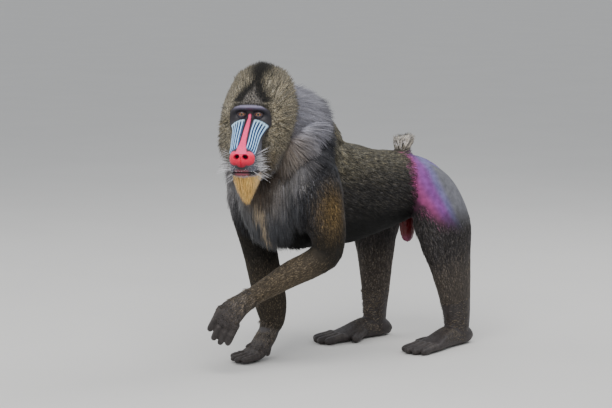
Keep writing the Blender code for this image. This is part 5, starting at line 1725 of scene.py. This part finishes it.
def leg_zone(points, normals, bones):
    """The legs below the rump."""
    return limb_values(bones, "leg")[0] * rise(points[:, 2], 0.315, 0.300)


def arm_zone(points, normals, bones):
    """The arms below the mantle."""
    return rise(limb_values(bones, "arm")[0], 0.3, 0.5) * behind_mantle(points)


def coat_material(name, roughness=0.65, sheen=0.03, grizzle=0.75):
    """A coat finish, fine strands in relief; grizzle is how strongly it is flecked."""
    return new_material(name, roughness, 0.18, (0.16, 0.0006, None), (0.0030, grizzle, 1.0),
                        sheen=sheen)


def make_body_coat(coat):
    """All the hair of the body behind the head, in pieces that share two finishes."""
    fur, cape = coat_material("fur_finish"), coat_material("mantle_finish", 0.55, 0.16, 0.30)
    for seed, (name, zone, count, finish, slot, *nodes) in enumerate((
            ("mantle_coat_left", mantle_zone(1), coat.mantle_tufts, cape, "mantle"),
            ("mantle_coat_right", mantle_zone(-1), coat.mantle_tufts, cape, "mantle"),
            ("chest_coat", chest_zone, coat.chest_tufts, cape, "mantle"),
            ("back_coat", trunk_zone(WAIST, 0.7), coat.back_tufts, fur, "coat"),
            ("flank_coat", trunk_zone(0.0, WAIST), coat.flank_tufts, fur, "coat"),
            ("rump_coat", rump_zone, coat.rump_tufts, fur, "rump_skin"),
            ("arm_coat", above_wrists(arm_zone), coat.arm_tufts, fur, "coat"),
            ("leg_coat", above_wrists(leg_zone), coat.leg_tufts, fur, "coat"),
            ("tail_coat", zone_of("tail"), coat.tail_tufts, fur, "tail_tuft", "tail")), 11):
        grow_on_body(name, zone, count, seed, finish, slot, nodes)


def make_paw_coat(coat, skin):
    """Short hair on the backs of the hands and the tops of the feet, ending at the knuckles.

    Hair lies towards the fingers; it gets shorter and sparser with the distance from the
    wrist or ankle. The bake map is rolled out round the line from the wrist to the fingers."""
    fur = bpy.data.materials["fur_finish"]
    paws = []
    for side, palm, wide, _ in HANDS:
        line = np.asarray(palm)[:, :3]
        ahead = unit(line[-1] - line[0])
        back = np.cross(unit(wide), ahead)
        reach = np.linalg.norm(line[-1] - line[0])
        paws.append(("hand_" + side, line[0], ahead, back if back[2] > 0 else -back, reach))
    for side, _, (x, y, turn), _ in FEET:
        paws.append(("foot_" + side, np.array((x, y, 0.035)), foot_ahead(turn),
                     np.array((0, 0, 1.0)), 0.085))
    for number, (name, start, ahead, back, reach) in enumerate(paws):
        points, normals, triangles = points_of(bpy.data.objects[name + "_skin"])
        side = np.cross(ahead, back)

        def along_of(p):
            return (p - start) @ ahead / reach

        weight = rise(normals @ back, -0.35, 0.15) * rise(along_of(points), 1.25, 0.65)
        weight = weight * rise(along_of(points), -0.25, -0.05)
        chosen, shares = scatter(points, triangles, weight, coat.paw_tufts, 61 + number)
        roots = at_places(points, triangles, chosen, shares)
        out = unit(at_places(normals, triangles, chosen, shares))
        dice = np.random.default_rng(71 + number)
        along = along_of(roots)
        flow = ahead + dice.normal(0, 0.12, roots.shape) - back * rise(along, 0.1, -0.2)[:, None]
        flow = unit(flow - out * (flow * out).sum(axis=1, keepdims=True))
        near = rise(along, 1.0, 0.1)
        length = (0.0055 + 0.0075 * near) * dice.uniform(0.7, 1.2, len(roots))
        marks = mixed(skin.hand_colour, coat.wrist, 0.15 + 0.85 * near)
        colours = banded(marks, dice, 0.8, waves(roots, 0.0085, 81), root=0.5)
        turned = np.arctan2((roots - start) @ side, (roots - start) @ back)
        unwrap = np.stack([turned / (2 * math.pi) + 0.5, np.clip(along / 3 + 0.3, 0, 1)], axis=1)
        unwrap = MAP_START + MAP_SPAN * unwrap
        grow_tufts(name + "_coat", roots, out, flow + out * 0.42, flow + out * 0.02, length,
                   0.0013, 0.0004, colours, unwrap, fur, "coat")


def head_roots(weight, count, seed):
    """Places on the head's grid with their normals, row, turn and depth into the hair."""
    grid = head_grid()
    rings = grid["points"]
    points = rings.reshape(-1, 3)
    normals = grid_normals(rings).reshape(-1, 3)
    quads = ring_faces(*rings.shape[:2])
    triangles = np.vstack([quads[:, [0, 1, 2]], quads[:, [0, 2, 3]]])
    chosen, shares = scatter(points, triangles, weight.ravel(), count, seed)
    read = [at_places(v, triangles, chosen, shares) for v in
            (points, normals, grid["row"].ravel(), grid["behind"].ravel())]
    turn = grid["turn"].ravel()[triangles[chosen][:, 0]]
    return read[0], unit(read[1]), read[2], turn, read[3]


def grow_on_head(name, spots, start, lie, length, width, colours, material, slot, soft=TUFT_SOFTNESS):
    """A coat piece on the head; all directions are (left, forward, up) in the head."""
    points, normals, row, turn, _ = spots
    unwrap = fitted(np.stack([turn / 360 + 0.5, (row + 1) / 14.5], axis=1))
    grow_tufts(name, head_place(points), head_turned(normals), head_turned(start),
               head_turned(lie), length, width, width * TUFT_THICKNESS, colours, unwrap, material, slot,
               soft=soft)


def make_hood(coat):
    """The hair of the crown, the crest and both cheeks.

    Hair is shortest at the edge of the face and grows longer behind it; it leaves the skin
    steeply, bends back on the cheeks and up and back on the crest, and falls on the nape.
    trim shortens the side hair by height, so that the hood has its oval outline."""
    fur = coat_material("hood_finish", 0.62, 0.08, 0.95)
    grid = head_grid()
    turn = np.abs(grid["turn"])
    crown = rise(turn, 62, 58)
    for name, weight, count, seed in (
            ("hood_coat", crown, coat.hood_tufts, 31),
            ("cheek_coat_left", (1 - crown) * (grid["turn"] > 0), coat.cheek_tufts, 32),
            ("cheek_coat_right", (1 - crown) * (grid["turn"] < 0), coat.cheek_tufts, 33)):
        edge = 1 + 1.6 * rise(grid["behind"], 1.2, 0.1)
        spots = head_roots(weight * grid["hair"] * edge, count, seed)
        points, out, _, turned, behind = spots
        dice = np.random.default_rng(seed + 5)
        number = len(points)
        top = rise(np.abs(turned), 74, 40)
        low = rise(points[:, 2], -3.0, -8.0)
        back, up = np.array((0.0, -1.0, 0.0)), np.array((0.0, 0.0, 1.0))
        start = out * 0.80 + back * (0.55 - 0.30 * top)[:, None] + up * (0.35 * top)[:, None]
        lie = (out * (0.40 - 0.16 * top)[:, None] + back * (0.70 + 0.05 * top)[:, None]
               + up * (0.55 * top - (0.28 + 0.6 * low) * (1 - top))[:, None])
        near = rise(behind, 1.1, 0.0)
        lie = lie + out * 0.25 * near[:, None]
        jitter = dice.normal(0, 0.07, (number, 3))
        curl = np.stack([waves(points, 2.2, seed + k) for k in range(3)], axis=1) * 0.035
        full = coat.crest_length * top + coat.cheek_length * (1 - top)
        length = 0.006 + (full - 0.006) * rise(behind, -0.1, 3.0)
        forehead = top * rise(points[:, 1], -2.0, 0.5)
        lean = np.sin(np.radians(turned))
        wide = rise(np.abs(points[:, 0]), 3.0, 5.5)
        trim = np.interp(points[:, 2], HOOD_HEIGHTS, HOOD_TRIM_LEFT)
        trim = np.where(turned > 0, trim, np.interp(points[:, 2], HOOD_HEIGHTS, HOOD_TRIM_RIGHT))
        length = length * (1 - 0.35 * forehead) * (1 + 0.26 * lean * top) * (1 - trim * wide)
        length = length * (1 + 0.35 * low * rise(behind, 2.0, 4.0))
        length = length * (1 + 0.20 * top * bell(turned, 4, 20) * rise(behind, 1.0, 2.5))
        start = start + np.array((0.06, 0.0, 0.0)) * top[:, None]
        nape = rise(points[:, 1], -8.5, -11.5)
        lie = lie + np.array((0.0, 0.25, -1.35)) * nape[:, None]
        start = start + np.array((0.0, 0.0, -0.45)) * nape[:, None]
        length = length * (1 + 0.15 * nape) * dice.uniform(0.82, 1.1, number)
        tips = points + (unit(start) + unit(lie)) * (length / CM / 2 * 0.8)[:, None]
        speckle = np.full(number, 0.70)
        marks = mixed(head_marks(tips, coat), coat.elbow, 0.40 * rise(behind, 0.6, 0.0))
        grain = 1.1 * waves(points, 0.45, seed + 7)
        colours = banded(marks, dice, speckle, grain, root=0.35, tip=0.5)
        width = (0.0011 + 0.0008 * rise(behind, 0.0, 2.5)) * dice.uniform(0.8, 1.2, number)
        grow_on_head(name, spots, start + jitter + curl, lie + jitter + curl, length, width,
                     colours, fur, "hood_and_face")


def make_beard(coat):
    """The pointed golden beard, hanging from the chin and drawn together at its tip."""
    grid = head_grid()
    turn = np.abs(grid["turn"])
    weight = rise(turn, 120, 134) * rise(grid["row"], 0.9, 1.4) * rise(grid["row"], 5.0, 4.4)
    weight = weight * rise(grid["mouth"], -0.6, -1.0)
    spots = head_roots(weight, coat.beard_tufts, 41)
    points, out, row = spots[:3]
    dice = np.random.default_rng(42)
    number = len(points)
    tip = np.array((0.5, 5.4, -20.4))
    middle = rise(np.abs(points[:, 0]), 3.2, 0.4)
    length = coat.beard_length * (0.44 + 0.60 * middle) * dice.uniform(0.6, 1.05, number)
    toward = unit(tip - points)
    start = out * 0.45 + toward + dice.normal(0, 0.10, (number, 3))
    lie = toward * 1.2 + (0, -0.05, -0.6) + dice.normal(0, 0.06, (number, 3))
    fall = rise(points[:, 2] * -1, 12.5, 15.0)
    colour = mixed(coat.beard_tip, coat.beard, 0.35 + 0.65 * fall)
    colour = mixed(colour, coat.throat, 0.6 * rise(row, 3.6, 4.8))
    light = dice.uniform(0.5, 1.35, number)[:, None]
    colours = np.stack([colour * light * 0.8, colour * light,
                        mixed(colour, coat.beard_tip, np.full(number, 0.55)) * light])
    width = 0.0015 * dice.uniform(0.7, 1.3, number)
    grow_on_head("beard", spots, start, lie, length, width, colours, coat_material(
        "beard_finish", 0.5, 0.3, 0.25), "hood_and_face")


def make_whiskers(coat):
    """White bristles that fan out from the lips, and short pale stubble on the muzzle."""
    grid = head_grid()
    turn, row, mouth = np.abs(grid["turn"]), grid["row"], grid["mouth"]
    fur = coat_material("whisker_finish", 0.4, 0.1, 0.1)
    upper = rise(turn, 70, 84) * rise(row, 4.4, 3.6) * rise(mouth, 0.1, 0.5) * (row > 0.25)
    lower = rise(turn, 100, 120) * rise(row, 4.6, 3.6) * rise(mouth, -0.3, -0.7)
    lower = lower * rise(mouth, -2.4, -1.6) * (row > 0.4)
    for name, weight, count, seed, size, thin in (
            ("muzzle_stubble", upper + lower, coat.stubble_tufts, 51, 0.0036, 0.0005),
            ("whiskers", upper * rise(row, 0.5, 1.4) * rise(row, 3.4, 1.8) + 0.4 * lower
             * rise(turn, 145, 130), coat.whisker_count, 52, coat.whisker_length, 0.00070)):
        spots = head_roots(weight * (1 - grid["nose"]) * (1 - grid["hair"]), count, seed)
        points, out, row_at_root = spots[:3]
        dice = np.random.default_rng(seed + 1)
        number = len(points)
        side = np.sign(points[:, 0:1]) * np.array((1.0, 0.0, 0.0))
        fan = unit(points - (0, 6.5, -10.6)) * (1, 0.3, 1)
        start = out * 0.45 + fan * 0.7 + dice.normal(0, 0.10, (number, 3))
        lie = fan + side * 0.35 + (0, -0.60, -0.12) + dice.normal(0, 0.10, (number, 3))
        length = size * dice.uniform(0.45, 1.15, number)
        pale = mixed(coat.whisker, coat.mantle, dice.uniform(0.0, 0.35, number))
        pale = pale * rise(row_at_root, 5.2, 2.8)[:, None] ** 0.3
        width = thin * dice.uniform(0.75, 1.25, number)
        grow_on_head(name, spots, start, lie, length, width, np.stack([pale * 0.8, pale, pale]),
                     fur, "hood_and_face", soft=0.4)


# Stage.

FLOOR_HALF = 60.0
# Lights: name, direction from the animal's middle, power in watts and size.
LIGHTS = (
    ("key", (0.9, -1.0, 1.5), 62.0, 2.2),
    ("fill", (-1.6, -1.2, 1.0), 22.0, 2.6),
    ("rim", (0.4, 1.8, 1.7), 30.0, 1.8),
)
LIGHT_DISTANCE = 2.6
SKY_STRENGTH = 0.75


def make_stage(stage):
    """A plain pale floor, three soft lights, soft surroundings and the camera."""
    scene = bpy.context.scene
    half = FLOOR_HALF
    grid = np.array([(-half, -half, 0), (half, -half, 0), (half, half, 0), (-half, half, 0)])
    floor = make_mesh("floor", grid - SHIFT, [np.array([[0, 1, 2, 3]])])
    plain = new_material("floor_finish", 0.85, 0.2, None, (0.4, 0.015, 1.0), stage.floor_colour)
    floor.data.materials.append(plain)
    world = bpy.data.worlds.new("surroundings")
    scene.world = world
    world.use_nodes = True
    sky = world.node_tree.nodes["Background"]
    sky.inputs["Color"].default_value = (*stage.world_colour, 1.0)
    sky.inputs["Strength"].default_value = SKY_STRENGTH
    middle = Vector((0.0, 0.0, stage.target_height))
    for name, way, power, wide in LIGHTS:
        data = bpy.data.lights.new(name, "AREA")
        data.energy = power
        data.size = wide
        light = bpy.data.objects.new(name, data)
        light.location = middle + Vector(way).normalized() * LIGHT_DISTANCE
        light.rotation_mode = "QUATERNION"
        light.rotation_quaternion = (middle - light.location).to_track_quat("-Z", "Y")
        scene.collection.objects.link(light)
    a, e = stage.azimuth, stage.elevation
    back = Vector((math.sin(a) * math.cos(e), -math.cos(a) * math.cos(e), math.sin(e)))
    data = bpy.data.cameras.new("camera")
    data.sensor_width = 36.0
    data.lens = data.sensor_width * stage.distance / stage.view_width
    data.clip_end = 200.0
    camera = bpy.data.objects.new("camera", data)
    camera.location = Vector((SHIFT[0], SHIFT[1], stage.target_height)) + back * stage.distance
    camera.rotation_mode = "QUATERNION"
    camera.rotation_quaternion = (-back).to_track_quat("-Z", "Y")
    scene.collection.objects.link(camera)
    scene.camera = camera


# Operators and panel.

class MANDRILL_OT_body(bpy.types.Operator):
    """Builds the skin of the trunk, neck, limbs and tail, and of the groin"""

    bl_idname = "mandrill.body"
    bl_label = "Body skin"

    def execute(self, context):
        make_body_skin(context.scene.mandrill_skin)
        make_groin(context.scene.mandrill_skin)
        return {"FINISHED"}


class MANDRILL_OT_hands(bpy.types.Operator):
    """Builds the hands and feet and their nails"""

    bl_idname = "mandrill.hands"
    bl_label = "Hands and feet"

    def execute(self, context):
        make_hands_and_feet(context.scene.mandrill_skin)
        return {"FINISHED"}


class MANDRILL_OT_head(bpy.types.Operator):
    """Builds the face with its ridges, nose, mouth and brow, and the skull behind it"""

    bl_idname = "mandrill.head"
    bl_label = "Head skin"

    def execute(self, context):
        make_head_skin(context.scene.mandrill_face, context.scene.mandrill_coat)
        return {"FINISHED"}


class MANDRILL_OT_eyes(bpy.types.Operator):
    """Builds the eyeballs and eyelids"""

    bl_idname = "mandrill.eyes"
    bl_label = "Eyes"

    def execute(self, context):
        make_eyes(context.scene.mandrill_face)
        return {"FINISHED"}


class MANDRILL_OT_ears(bpy.types.Operator):
    """Builds the ears"""

    bl_idname = "mandrill.ears"
    bl_label = "Ears"

    def execute(self, context):
        make_ears(context.scene.mandrill_skin)
        return {"FINISHED"}


class MANDRILL_OT_body_coat(bpy.types.Operator):
    """Grows the hair of the mantle, chest, back, rump, limbs and tail"""

    bl_idname = "mandrill.body_coat"
    bl_label = "Body coat"

    def execute(self, context):
        make_body_coat(context.scene.mandrill_coat)
        make_paw_coat(context.scene.mandrill_coat, context.scene.mandrill_skin)
        return {"FINISHED"}


class MANDRILL_OT_head_coat(bpy.types.Operator):
    """Grows the hood, the cheeks, the beard and the whiskers"""

    bl_idname = "mandrill.head_coat"
    bl_label = "Head coat"

    def execute(self, context):
        make_hood(context.scene.mandrill_coat)
        make_beard(context.scene.mandrill_coat)
        make_whiskers(context.scene.mandrill_coat)
        return {"FINISHED"}


class MANDRILL_OT_stage(bpy.types.Operator):
    """Sets up the floor, lights and camera"""

    bl_idname = "mandrill.stage"
    bl_label = "Stage"

    def execute(self, context):
        make_stage(context.scene.mandrill_stage)
        return {"FINISHED"}


class MANDRILL_PT_panel(bpy.types.Panel):
    """Lists the mandrill's pieces in the sidebar"""

    bl_label = "Mandrill"
    bl_space_type = "VIEW_3D"
    bl_region_type = "UI"
    bl_category = "Mandrill"

    def draw(self, context):
        for operator in OPERATORS:
            self.layout.operator(operator.bl_idname)


OPERATORS = (
    MANDRILL_OT_body,
    MANDRILL_OT_hands,
    MANDRILL_OT_head,
    MANDRILL_OT_eyes,
    MANDRILL_OT_ears,
    MANDRILL_OT_body_coat,
    MANDRILL_OT_head_coat,
    MANDRILL_OT_stage,
)
SETTINGS = {
    "mandrill_skin": SkinSettings,
    "mandrill_face": FaceSettings,
    "mandrill_coat": CoatSettings,
    "mandrill_rump": RumpSettings,
    "mandrill_stage": StageSettings,
}


def register():
    for kind in (*SETTINGS.values(), *OPERATORS, MANDRILL_PT_panel):
        bpy.utils.register_class(kind)
    for name, kind in SETTINGS.items():
        setattr(bpy.types.Scene, name, bpy.props.PointerProperty(type=kind))


def unregister():
    for name in SETTINGS:
        delattr(bpy.types.Scene, name)
    for kind in reversed((*SETTINGS.values(), *OPERATORS, MANDRILL_PT_panel)):
        bpy.utils.unregister_class(kind)


def main():
    """Builds every piece in order."""
    register()
    bpy.ops.mandrill.body()
    bpy.ops.mandrill.hands()
    bpy.ops.mandrill.head()
    bpy.ops.mandrill.eyes()
    bpy.ops.mandrill.ears()
    bpy.ops.mandrill.body_coat()
    bpy.ops.mandrill.head_coat()
    bpy.ops.mandrill.stage()


if __name__ == "__main__":
    main()
